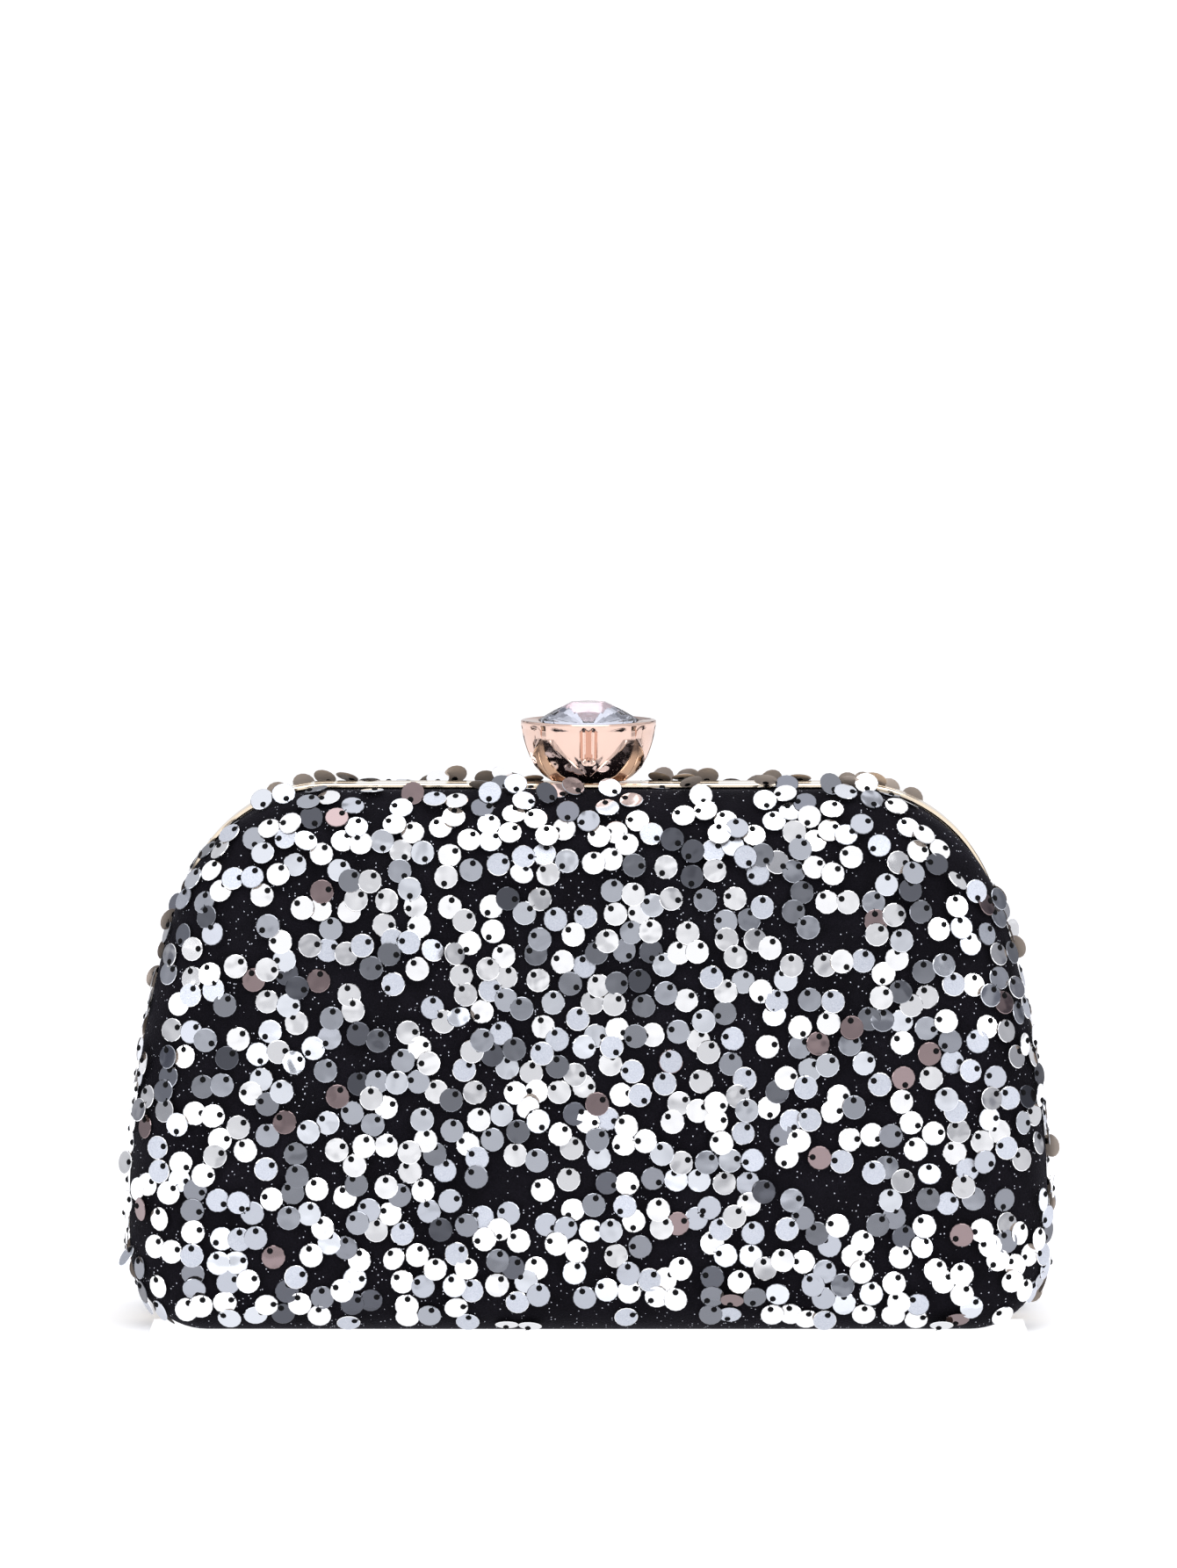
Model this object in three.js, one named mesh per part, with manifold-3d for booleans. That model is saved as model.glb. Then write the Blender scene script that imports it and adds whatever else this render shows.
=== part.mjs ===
// An evening bag: a clamshell clutch of two padded hard shells set in slim gold frames,
// hinged along the bottom and shut by a sliding clasp under a jewelled cup.
//
// Millimetres, +Z up, the front of the bag faces -Y. The origin is on the ground under the
// middle of the bag, and the two halves meet at the plane y = 0. The back half, the hinge pins
// and the lock stay where they are; the front half swings about the hinge pins, and the cup
// slides along the top rail to open the lock.

import * as THREE from 'three';
import { mergeVertices } from 'three/addons/utils/BufferGeometryUtils.js';
import { ConvexGeometry } from 'three/addons/geometries/ConvexGeometry.js';
import Module from 'manifold-3d';

const wasm = await Module();
wasm.setup();

// ---------------------------------------------------------------- driving dimensions

const GAP = 0.3; // clearance kept between neighbouring pieces
const HALF_GAP = 0.15; // each half stops this far from the meeting plane
const TOLERANCE = 1e-3;

// The bag's outline, as arcs that meet tangentially. The side arcs are centred here, mirrored in x.
const SIDE_CENTRE = { x: -120, z: 24 };
const FABRIC = { top: 116.4, bottom: 0, side: 220, shoulder: 33.5, corner: 17 };
const FRAME = { top: 117, bottom: 1.8, side: 219, shoulder: 33, corner: 16 };
const STEPS = { top: 2, shoulder: 4, side: 3, corner: 4, bottom: 2 };

// Frame section: a rail that shows from outside and a web that closes the half's edge inside.
const RAIL = { depth: 4.4, thick: 0.9 };
const WEB = { depth: 1.35, width: 7 };
const LOCK_TAB = { halfWidth: 18, bottom: 95 };

// The pillow of each half: where the cover leaves the frame, swells out and rounds over.
const COVER = {
  rimInset: 1.2, rimY: WEB.depth + GAP, lipY: 4.9, swellY: 6.2, turnY: 7.6, baseY: 14,
  round: { top: 18, side: 18, bottom: 12 },
};
const DEPTH = { low: 24.8, high: 16.2, lowZ: 25, highZ: 117, crown: 1.2, crownHalfWidth: 82 };
const FACE = { middleZ: 56, innerScale: 0.5 };
const TURNS = [30, 60, 90]; // degrees round the edge at which a ring is laid

// Layers of each half from outside in: how far below the cover's face each begins and ends.
const LAYERS = [
  { name: 'velvet_cover', outer: 0, inner: 0.8, color: 0x0d0c0f, roughness: 0.95 },
  { name: 'foam_padding', outer: 1.1, inner: 2.6, color: 0xcfc9ba, roughness: 1 },
  { name: 'hard_shell', outer: 2.9, inner: 4.4, color: 0x2b2b2e, roughness: 0.6 },
  { name: 'satin_lining', outer: 4.7, inner: 5.5, color: 0xb9b6bd, roughness: 0.45 },
];

const HINGE = {
  x: 52, z: 1.6, barrel: 1.4, pin: 0.6, bore: 0.9,
  halfLength: 11, middle: 3.7, leafTop: 8.6, leafY: WEB.depth + GAP, leafThick: 0.8,
  footLow: 0.3, footHigh: 1.2, pinHead: 1.1, pinHeadLong: 0.6, rivetOffset: 7, rivetZ: 6.2,
  plateRise: 0.5, notchSide: 1.4, notchRise: 0.4,
};
const RIVET = {
  shank: 0.8, hole: 1.1, head: 1.5, end: 0.2, seatY: HINGE.leafY + HINGE.leafThick,
  crown: 0.7, shoulder: 0.45, shoulderShare: 0.85,
};
const DRILL = 30; // every hole's cutter runs this far past the middle of its piece

// Room left in the layers of each half for the hinge leaves and for the clasp's blade.
const HINGE_POCKET = { side: 1.6, depth: RIVET.seatY + 1.2, top: 10.5 };
const BLADE_POCKET = { side: 2, depth: RAIL.depth - 0.6 };

const CLASP = {
  y: 2.4, travel: 3.5, bladeHalf: 1.75, bladeThick: 1.5, bladeLow: 107.1,
  shank: 1.0, shankTop: 122, footLow: 104.9, footRight: 0.9, footFar: 4.4, overlap: 0.5, slotDeep: 2,
};
const CUP = {
  base: FRAME.top + GAP, rim: 130.4, radius: 14.65, straight: 2.6, fall: 12.7,
  floor: 2, bore: 5, seatRadius: 11.3, landDrop: 0.45, shankHole: 1.3, petalDip: 0.05,
  rimWide: 0.9, seatGap: 0.35, levels: [0, 0.14, 0.3, 0.5, 0.75, 1],
};
const CRYSTAL = {
  table: 3.8, top: 134.3, girdle: 10.8, girdleLow: 130.1, girdleHigh: 130.5,
  starRadius: 7.2, starZ: 132.55, culet: 123.7, pavilionRadius: 5.6, pavilionZ: 126.9,
};
const NUT = { across: 4, low: CUP.base + CUP.floor + GAP, high: 121.2 };
const LOCK_BOX = {
  half: 13.5, low: 95.6, high: 108, far: 6.6, wall: 0.6, earHalf: 3, rivetX: 15.7, rivetZ: 102,
};
const LATCH = {
  x: 1.2, thick: 0.5, low: 96.6, high: 106.3, far: 3.3, plateRight: 9.5, plateTop: 99.6, plateThick: 0.6,
  rivetX: 6.5,
};
const STUD = {
  z: 102, shank: 1.4, neck: 0.9, head: 1.9, tip: 0.7, window: 2.5,
  flange: 2.2, flangeEdge: 0.6, flangeMiddle: 0.9, neckStart: 1.4, neckEnd: 3.6, headEnd: 4.1, end: 5.4, taper: 0.2,
};

const GOLD = { color: 0xd9b38c, roughness: 0.25, metalness: 1 };
const ROSE_GOLD = { color: 0xc98a6a, roughness: 0.18, metalness: 1 };
const STEEL = { color: 0xb9bcc0, roughness: 0.35, metalness: 1 };

// ---------------------------------------------------------------- solids

/** A closed geometry as a manifold solid, turned right side out. */
function solid(geometry) {
  const bare = geometry.clone();
  bare.deleteAttribute('normal');
  bare.deleteAttribute('uv');
  const merged = mergeVertices(bare, 1e-4);
  const vertProperties = new Float32Array(merged.attributes.position.array);
  const triVerts = new Uint32Array(merged.index.array);
  const corner = (i) => new THREE.Vector3().fromArray(vertProperties, 3 * triVerts[i]);
  let volume = 0;
  for (let i = 0; i < triVerts.length; i += 3) {
    volume += corner(i).dot(corner(i + 1).cross(corner(i + 2)));
  }
  if (volume < 0) {
    for (let i = 0; i < triVerts.length; i += 3) {
      [triVerts[i], triVerts[i + 1]] = [triVerts[i + 1], triVerts[i]];
    }
  }
  return new wasm.Manifold(new wasm.Mesh({ numProp: 3, vertProperties, triVerts }));
}

/** A manifold solid as a geometry with flat faces. */
function geometryOf(manifold) {
  const mesh = manifold.getMesh();
  const geometry = new THREE.BufferGeometry();
  geometry.setAttribute('position', new THREE.BufferAttribute(mesh.vertProperties, 3));
  geometry.setIndex(new THREE.BufferAttribute(mesh.triVerts, 1));
  geometry.computeVertexNormals();
  return geometry;
}

const union = (...solids) => solids.reduce((whole, piece) => whole.add(piece));
const cut = (whole, ...cutters) => cutters.reduce((left, cutter) => left.subtract(cutter), whole);

/** A box between two corners. */
function box(x0, x1, y0, y1, z0, z1) {
  const geometry = new THREE.BoxGeometry(x1 - x0, y1 - y0, z1 - z0);
  return solid(geometry.translate((x0 + x1) / 2, (y0 + y1) / 2, (z0 + z1) / 2));
}

/** A turned piece: a profile of [radius, distance along the axis] points that starts and ends on the axis. */
function turned(profile, axis, at, segments = 12) {
  const geometry = new THREE.LatheGeometry(profile.map(([r, h]) => new THREE.Vector2(r, h)), segments);
  if (axis === 'x') geometry.rotateZ(-Math.PI / 2);
  if (axis === 'z') geometry.rotateX(Math.PI / 2);
  return solid(geometry.translate(...at));
}

/** A round bar from one height along its axis to another. */
function bar(radius, from, to, axis, at, segments = 12) {
  return turned([[0, from], [radius, from], [radius, to], [0, to]], axis, at, segments);
}

/** The cutter of a round hole along y. */
function hole(radius, x, z) {
  return bar(radius, -DRILL, DRILL, 'y', [x, 0, z]);
}

/** The same solid on the front half, mirrored in the meeting plane. */
const toFront = (piece) => piece.mirror([0, 1, 0]);

// ---------------------------------------------------------------- the outline

/** Points along an arc, without its last one. */
function arc(x, z, radius, from, to, steps) {
  return Array.from({ length: steps }, (_, i) => {
    const turn = from + ((to - from) * i) / steps;
    const [across, up] = [Math.cos(turn), Math.sin(turn)];
    return { x: x + radius * across, z: z + radius * up, down: Math.max(0, -up) };
  });
}

/** Points along a level line, without its last one. */
function level(x0, x1, z, steps, down) {
  return Array.from({ length: steps }, (_, i) => ({ x: x0 + ((x1 - x0) * i) / steps, z, down }));
}

/** The bag's outline, inset by a distance of its own at the top, the sides and the bottom. */
function outline(shape, inset) {
  const top = shape.top - inset.top;
  const bottom = shape.bottom + inset.bottom;
  const side = shape.side - inset.side;
  const shoulder = Math.max(4, shape.shoulder - (inset.top + inset.side) / 2);
  const corner = Math.max(3, shape.corner - (inset.bottom + inset.side) / 2);
  const reach = (radius, z) => SIDE_CENTRE.x + Math.sqrt((side - radius) ** 2 - (z - SIDE_CENTRE.z) ** 2);
  const turnTo = (x, z) => Math.atan2(z - SIDE_CENTRE.z, x - SIDE_CENTRE.x);
  const [shoulderZ, cornerZ] = [top - shoulder, bottom + corner];
  const [shoulderX, cornerX] = [reach(shoulder, shoulderZ), reach(corner, cornerZ)];
  const [high, low] = [turnTo(shoulderX, shoulderZ), turnTo(cornerX, cornerZ)];
  const right = [
    ...level(0, shoulderX, top, STEPS.top, 0),
    ...arc(shoulderX, shoulderZ, shoulder, Math.PI / 2, high, STEPS.shoulder),
    ...arc(SIDE_CENTRE.x, SIDE_CENTRE.z, side, high, low, STEPS.side),
    ...arc(cornerX, cornerZ, corner, low, -Math.PI / 2, STEPS.corner),
    ...level(cornerX, 0, bottom, STEPS.bottom, 1),
    { x: 0, z: bottom, down: 1 },
  ];
  const left = right.slice(1, -1).reverse().map((p) => ({ ...p, x: -p.x }));
  return [...right, ...left];
}

const evenly = (distance) => ({ top: distance, side: distance, bottom: distance });

/** A flat plate of the frame's outline with a smaller outline cut from it, between two depths. */
function hoop(outerInset, innerInset, y0, y1) {
  const points = (inset) => outline(FRAME, evenly(inset)).map((p) => new THREE.Vector2(p.x, p.z));
  const shape = new THREE.Shape(points(outerInset));
  shape.holes.push(new THREE.Path(points(innerInset).reverse()));
  const geometry = new THREE.ExtrudeGeometry(shape, { depth: y1 - y0, bevelEnabled: false });
  return solid(geometry.rotateX(Math.PI / 2).translate(0, y1, 0));
}

// ---------------------------------------------------------------- shells and their layers

/** How far the face of the bag stands from the meeting plane at a point of it. */
function faceDepth(x, z) {
  const rise = THREE.MathUtils.clamp((z - DEPTH.lowZ) / (DEPTH.highZ - DEPTH.lowZ), 0, 1);
  const bulge = Math.max(0, 1 - (x / DEPTH.crownHalfWidth) ** 2);
  return DEPTH.low - (DEPTH.low - DEPTH.high) * rise ** 2 + DEPTH.crown * bulge;
}

/** The rings of one skin of the pillow, a stated distance inside the cover's face. */
function skinRings(inside) {
  const place = (points, depth) => points.map((p) => new THREE.Vector3(p.x, depth(p), p.z));
  const rim = outline(FRAME, evenly(COVER.rimInset + inside));
  const full = outline(FABRIC, evenly(inside));
  const turnDepth = (p) => COVER.turnY + (COVER.baseY - COVER.turnY) * p.down ** 2;
  const round = (degrees) => {
    const turn = THREE.MathUtils.degToRad(degrees);
    const inset = Object.fromEntries(Object.entries(COVER.round).map(
      ([edge, radius]) => [edge, radius - (radius - inside) * Math.cos(turn)]));
    return place(outline(FABRIC, inset), (p) => {
      const start = turnDepth(p);
      return start + (faceDepth(p.x, p.z) - start - inside) * Math.sin(turn);
    });
  };
  const turns = TURNS.map(round);
  const middle = turns.at(-1).map((p) => {
    const [x, z] = [p.x * FACE.innerScale, FACE.middleZ + (p.z - FACE.middleZ) * FACE.innerScale];
    return new THREE.Vector3(x, faceDepth(x, z) - inside, z);
  });
  return [
    place(rim, () => COVER.rimY),
    place(rim, () => COVER.lipY),
    place(full, () => COVER.swellY),
    place(full, turnDepth),
    ...turns,
    middle,
  ];
}

/** A bowl-shaped layer between two skins, open towards the meeting plane. */
function bowl(outer, inner) {
  const positions = [];
  const index = [];
  const skins = [outer, inner].map((inside) => {
    const start = positions.length;
    const rings = skinRings(inside);
    rings.forEach((ring) => positions.push(...ring));
    positions.push(new THREE.Vector3(0, faceDepth(0, FACE.middleZ) - inside, FACE.middleZ));
    return { start, rings: rings.length, around: rings[0].length };
  });
  const { rings, around } = skins[0];
  const next = (i) => (i + 1) % around;
  skins.forEach(({ start }, skin) => {
    const face = (a, b, c) => index.push(...(skin ? [a, c, b] : [a, b, c]));
    for (let i = 0; i < around; i++) {
      for (let ring = 0; ring < rings - 1; ring++) {
        const [low, high] = [start + ring * around, start + (ring + 1) * around];
        face(low + i, low + next(i), high + next(i));
        face(low + i, high + next(i), high + i);
      }
      const last = start + (rings - 1) * around;
      face(last + i, last + next(i), start + rings * around);
    }
  });
  for (let i = 0; i < around; i++) {
    const [a, b] = [skins[0].start + i, skins[0].start + next(i)];
    const [c, d] = [skins[1].start + i, skins[1].start + next(i)];
    index.push(b, a, c, b, c, d);
  }
  const geometry = new THREE.BufferGeometry().setFromPoints(positions);
  geometry.setIndex(index);
  return solid(geometry);
}

/** What is cut from every layer so that the hinge leaves and their rivets have room. */
function hingePocket(x) {
  const half = HINGE.halfLength + HINGE_POCKET.side;
  return box(x - half, x + half, 0, HINGE_POCKET.depth, 0, HINGE_POCKET.top);
}

/** What is cut from the back half's layers so that the clasp's blade can slide. */
function bladePocket() {
  const reach = CLASP.bladeHalf + BLADE_POCKET.side;
  return box(-reach, reach + CLASP.travel, 0, BLADE_POCKET.depth, CLASP.footLow, FRAME.top);
}

// ---------------------------------------------------------------- frames

/** One half's frame: rail, web and the tab that carries the lock. */
function frame() {
  const rail = hoop(0, RAIL.thick, HALF_GAP, RAIL.depth);
  const web = hoop(0, WEB.width, HALF_GAP, WEB.depth);
  const tab = box(-LOCK_TAB.halfWidth, LOCK_TAB.halfWidth, HALF_GAP, WEB.depth,
    LOCK_TAB.bottom, FRAME.top - WEB.width + 1);
  const notchHalf = HINGE.halfLength + HINGE.notchSide;
  const notchTop = HINGE.z + HINGE.barrel + HINGE.notchRise;
  const notches = [-HINGE.x, HINGE.x].map((x) => box(
    x - notchHalf, x + notchHalf, 0, RIVET.seatY + GAP, 0, notchTop));
  const rivetHoles = hingeRivetPlaces().map(([x, z]) => hole(RIVET.hole, x, z));
  return cut(union(rail, web, tab), ...notches, ...rivetHoles);
}

function backFrame() {
  const slot = box(-CLASP.bladeHalf - GAP, CLASP.bladeHalf + CLASP.travel + GAP,
    WEB.depth, CLASP.y + CLASP.bladeThick / 2 + GAP, FRAME.top - CLASP.slotDeep, FRAME.top + 1);
  const holes = lockFastenerPlaces().map(([x, z]) => hole(RIVET.hole, x, z));
  const window = hole(STUD.window, 0, STUD.z);
  return cut(frame(), slot, window, ...holes);
}

function frontFrame() {
  return cut(toFront(frame()), hole(STUD.shank + GAP, 0, STUD.z));
}

// ---------------------------------------------------------------- hinges

/** Knuckle ranges along the pin: the back leaf has the two outer ones, the front leaf the middle one. */
const KNUCKLES = {
  back: [[-HINGE.halfLength, -HINGE.middle - GAP], [HINGE.middle + GAP, HINGE.halfLength]],
  front: [[-HINGE.middle, HINGE.middle]],
};

/** A hinge leaf on the back half's side of the pin; the front leaf is mirrored afterwards. */
function hingeLeaf(x, ranges) {
  const far = HINGE.leafY + HINGE.leafThick;
  const plateLow = HINGE.z + HINGE.barrel + HINGE.plateRise;
  const plate = box(x - HINGE.halfLength, x + HINGE.halfLength, HINGE.leafY, far, plateLow, HINGE.leafTop);
  const knuckles = ranges.map(([from, to]) => union(
    bar(HINGE.barrel, from, to, 'x', [x, 0, HINGE.z], 16),
    box(x + from, x + to, 0, far, HINGE.footLow, HINGE.footHigh),
    box(x + from, x + to, HINGE.leafY, far, HINGE.footLow, plateLow + HINGE.plateRise)));
  const bore = bar(HINGE.bore, -DRILL, DRILL, 'x', [x, 0, HINGE.z]);
  const holes = [-1, 1].map((side) => hole(RIVET.hole, x + side * HINGE.rivetOffset, HINGE.rivetZ));
  return cut(union(plate, ...knuckles), bore, ...holes);
}

function hingePin(x) {
  const end = HINGE.halfLength + GAP;
  const tip = end + HINGE.pinHeadLong;
  const profile = [[0, -tip], [HINGE.pinHead, -tip], [HINGE.pinHead, -end], [HINGE.pin, -end],
    [HINGE.pin, end], [HINGE.pinHead, end], [HINGE.pinHead, tip], [0, tip]];
  return turned(profile, 'x', [x, 0, HINGE.z]);
}

// ---------------------------------------------------------------- rivets

function hingeRivetPlaces() {
  const ends = [-HINGE.rivetOffset, HINGE.rivetOffset];
  return [-HINGE.x, HINGE.x].flatMap((x) => ends.map((end) => [x + end, HINGE.rivetZ]));
}

function lockFastenerPlaces() {
  return [[-LOCK_BOX.rivetX, LOCK_BOX.rivetZ], [LOCK_BOX.rivetX, LOCK_BOX.rivetZ],
    [LATCH.rivetX, (LATCH.low + LATCH.plateTop) / 2]];
}

/** A domed rivet through the frame's web, flush with it on the meeting face. */
function rivet(x, z) {
  const seat = RIVET.seatY + GAP;
  const profile = [[0, RIVET.end], [RIVET.shank, RIVET.end], [RIVET.shank, seat],
    [RIVET.head, seat], [RIVET.head * RIVET.shoulderShare, seat + RIVET.shoulder], [0, seat + RIVET.crown]];
  return turned(profile, 'y', [x, 0, z], 8);
}

// ---------------------------------------------------------------- clasp and lock

/** The cup's outer radius at a height: straight under the rim, then rounding in to the base. */
function cupRadius(z) {
  const drop = Math.max(0, CUP.rim - z - CUP.straight) / CUP.fall;
  return CUP.radius * Math.sqrt(1 - drop ** 2);
}

/** The jewelled cup's metal: a four-petal cup with a conical seat for the crystal. */
function claspCup() {
  const floor = CUP.base + CUP.floor;
  const slope = (CRYSTAL.girdleLow - CRYSTAL.culet) / CRYSTAL.girdle;
  const seatZ = (radius) => CRYSTAL.girdleLow - CUP.seatGap - (CRYSTAL.girdle - radius) * slope;
  const heights = CUP.levels.map((share) => CUP.base + (CUP.rim - CUP.base) * share);
  const profile = [
    [CUP.shankHole, CUP.base],
    ...heights.map((z) => [cupRadius(z), z]),
    [CUP.radius - CUP.rimWide, CUP.rim],
    [CUP.seatRadius, CUP.rim - CUP.landDrop],
    [CUP.bore, seatZ(CUP.bore)],
    [CUP.bore, floor],
    [CUP.shankHole, floor],
    [CUP.shankHole, CUP.base],
  ];
  const geometry = new THREE.LatheGeometry(profile.map(([r, z]) => new THREE.Vector2(r, z)), 24);
  const place = geometry.attributes.position;
  for (let i = 0; i < place.count; i++) {
    const [x, z] = [place.getX(i), place.getZ(i)];
    const radius = Math.hypot(x, z);
    const outside = radius > Math.min(cupRadius(place.getY(i)), CUP.radius - CUP.rimWide) - TOLERANCE;
    const dip = outside ? 1 - CUP.petalDip * Math.sin(2 * Math.atan2(z, x)) ** 2 : 1;
    place.setX(i, x * dip);
    place.setZ(i, z * dip);
  }
  return solid(geometry.rotateX(Math.PI / 2).translate(0, CLASP.y, 0));
}

/** A ring of points on a circle, for a faceted stone. */
function stoneRing(radius, z, count, offset) {
  return Array.from({ length: count }, (_, i) => {
    const turn = ((i + offset) * 2 * Math.PI) / count;
    return new THREE.Vector3(radius * Math.cos(turn), CLASP.y + radius * Math.sin(turn), z);
  });
}

/** A brilliant-cut stone as the hull of its table, star, girdle and pavilion points. */
function claspCrystal() {
  return solid(new ConvexGeometry([
    ...stoneRing(CRYSTAL.table, CRYSTAL.top, 8, 0.5),
    ...stoneRing(CRYSTAL.starRadius, CRYSTAL.starZ, 8, 0),
    ...stoneRing(CRYSTAL.girdle, CRYSTAL.girdleHigh, 16, 0),
    ...stoneRing(CRYSTAL.girdle, CRYSTAL.girdleLow, 16, 0),
    ...stoneRing(CRYSTAL.pavilionRadius, CRYSTAL.pavilionZ, 8, 0.5),
    new THREE.Vector3(0, CLASP.y, CRYSTAL.culet),
  ]));
}

/** The post that carries the cup: a threaded shank on a flat blade with a pusher foot. */
function claspPost() {
  const [near, far] = [CLASP.y - CLASP.bladeThick / 2, CLASP.y + CLASP.bladeThick / 2];
  return union(
    bar(CLASP.shank, 0, CLASP.shankTop - FRAME.top + 1, 'z', [0, CLASP.y, FRAME.top - 1], 16),
    box(-CLASP.bladeHalf, CLASP.bladeHalf, near, far, CLASP.bladeLow - CLASP.overlap, FRAME.top),
    box(-CLASP.bladeHalf, CLASP.footRight, near, CLASP.footFar, CLASP.footLow, CLASP.bladeLow),
  );
}

function postNut() {
  const shape = new THREE.Shape(Array.from({ length: 6 }, (_, i) => {
    const turn = (i * Math.PI) / 3;
    const corner = NUT.across / Math.sqrt(3);
    return new THREE.Vector2(corner * Math.cos(turn), corner * Math.sin(turn));
  }));
  const geometry = new THREE.ExtrudeGeometry(shape, { depth: NUT.high - NUT.low, bevelEnabled: false });
  const hex = solid(geometry.translate(0, CLASP.y, NUT.low));
  return cut(hex, bar(CUP.shankHole, -1, 4, 'z', [0, CLASP.y, NUT.low]));
}

/** The pressed cover over the lock, with an ear and a rivet at each end. */
function lockCover() {
  const { half, low, high, far, wall, earHalf, rivetX, rivetZ } = LOCK_BOX;
  const near = HINGE.leafY;
  const earEnd = LOCK_TAB.halfWidth - GAP;
  const body = box(-half, half, near, far, low, high);
  const ears = box(-earEnd, earEnd, near, near + HINGE.leafThick, rivetZ - earHalf, rivetZ + earHalf);
  const inside = box(-half + wall, half - wall, near - 1, far - wall, low + wall, high - wall);
  const slot = box(-CLASP.bladeHalf - GAP, CLASP.bladeHalf + CLASP.travel + GAP,
    near - 1, CLASP.y + CLASP.bladeThick / 2 + GAP, high - wall - 1, high + 1);
  const holes = [-rivetX, rivetX].map((x) => hole(RIVET.hole, x, rivetZ));
  return cut(union(body, ears), inside, slot, ...holes);
}

/** A bent spring leaf: its blade lies in the stud's neck and against the post's foot. */
function latchSpring() {
  const near = HINGE.leafY;
  const plate = box(LATCH.x, LATCH.plateRight, near, near + LATCH.plateThick, LATCH.low, LATCH.plateTop);
  const blade = box(LATCH.x, LATCH.x + LATCH.thick, near, LATCH.far, LATCH.low, LATCH.high);
  return cut(union(plate, blade), hole(RIVET.hole, LATCH.rivetX, (LATCH.low + LATCH.plateTop) / 2));
}

/** The stud on the front half that the spring leaf holds. */
function catchStud() {
  const seat = -HINGE.leafY;
  const profile = [
    [0, seat - STUD.flangeMiddle], [STUD.flange, seat - STUD.flangeEdge], [STUD.flange, seat],
    [STUD.shank, seat],
    [STUD.shank, STUD.neckStart - STUD.taper], [STUD.neck, STUD.neckStart], [STUD.neck, STUD.neckEnd],
    [STUD.head, STUD.neckEnd], [STUD.head, STUD.headEnd], [STUD.tip, STUD.end], [0, STUD.end],
  ];
  return turned(profile, 'y', [0, 0, STUD.z], 16);
}

// ---------------------------------------------------------------- assembly

/** A named piece of the bag. */
function piece(name, manifold, look) {
  const material = new THREE.MeshStandardMaterial({ flatShading: true, ...look });
  const mesh = new THREE.Mesh(geometryOf(manifold), material);
  mesh.name = name;
  return mesh;
}

function layersOf(half) {
  const hingeCuts = [hingePocket(-HINGE.x), hingePocket(HINGE.x)];
  return LAYERS.map(({ name, outer, inner, color, roughness }) => {
    const pockets = half === 'back' ? [...hingeCuts, bladePocket()] : hingeCuts;
    const layer = cut(bowl(outer, inner), ...pockets);
    const shape = half === 'back' ? layer : toFront(layer);
    return piece(`${half}_${name}`, shape, { color, roughness, metalness: 0 });
  });
}

function hinge(side, x) {
  const rivets = ['back', 'front'].flatMap((half) => [-1, 1].map((end) => {
    const shape = rivet(x + end * HINGE.rivetOffset, HINGE.rivetZ);
    const name = `${side}_hinge_${half}_rivet_${end < 0 ? 1 : 2}`;
    return piece(name, half === 'back' ? shape : toFront(shape), GOLD);
  }));
  return [
    piece(`${side}_hinge_back_leaf`, hingeLeaf(x, KNUCKLES.back), GOLD),
    piece(`${side}_hinge_front_leaf`, toFront(hingeLeaf(x, KNUCKLES.front)), GOLD),
    piece(`${side}_hinge_pin`, hingePin(x), STEEL),
    ...rivets,
  ];
}

function clasp() {
  const [leftRivet, rightRivet, springRivet] = lockFastenerPlaces().map(([x, z]) => rivet(x, z));
  return [
    piece('clasp_cup', claspCup(), ROSE_GOLD),
    piece('clasp_crystal', claspCrystal(), { color: 0xd9dbe6, roughness: 0.02, metalness: 0 }),
    piece('clasp_post', claspPost(), STEEL),
    piece('clasp_nut', postNut(), STEEL),
    piece('lock_cover', lockCover(), GOLD),
    piece('lock_cover_rivet_1', leftRivet, GOLD),
    piece('lock_cover_rivet_2', rightRivet, GOLD),
    piece('latch_spring', latchSpring(), STEEL),
    piece('latch_spring_rivet', springRivet, STEEL),
    piece('catch_stud', catchStud(), STEEL),
  ];
}

const bag = new THREE.Group();
bag.name = 'evening_bag';
bag.add(
  piece('back_frame', backFrame(), GOLD),
  piece('front_frame', frontFrame(), GOLD),
  ...layersOf('back'),
  ...layersOf('front'),
  ...hinge('left', -HINGE.x),
  ...hinge('right', HINGE.x),
  ...clasp(),
);

export default bag;
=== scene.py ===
"""An evening bag: a clamshell clutch in glitter velvet, sewn with loose round sequins.

Two padded hard shells sit in slim gold frames that are hinged along the bottom, and a sliding clasp
under a jewelled cup shuts them. The front faces -Y, +Z is up, and the halves meet at the plane y = 0.
Sizes of the shells and the frames are millimetres at the top of the file, and every mesh is in metres.
"""

import itertools
import math
import random

import bmesh
import bpy
from bpy.props import FloatProperty, FloatVectorProperty, IntProperty, PointerProperty
from mathutils import Matrix, Vector, noise
from mathutils.bvhtree import BVHTree
from mathutils.geometry import area_tri


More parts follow.
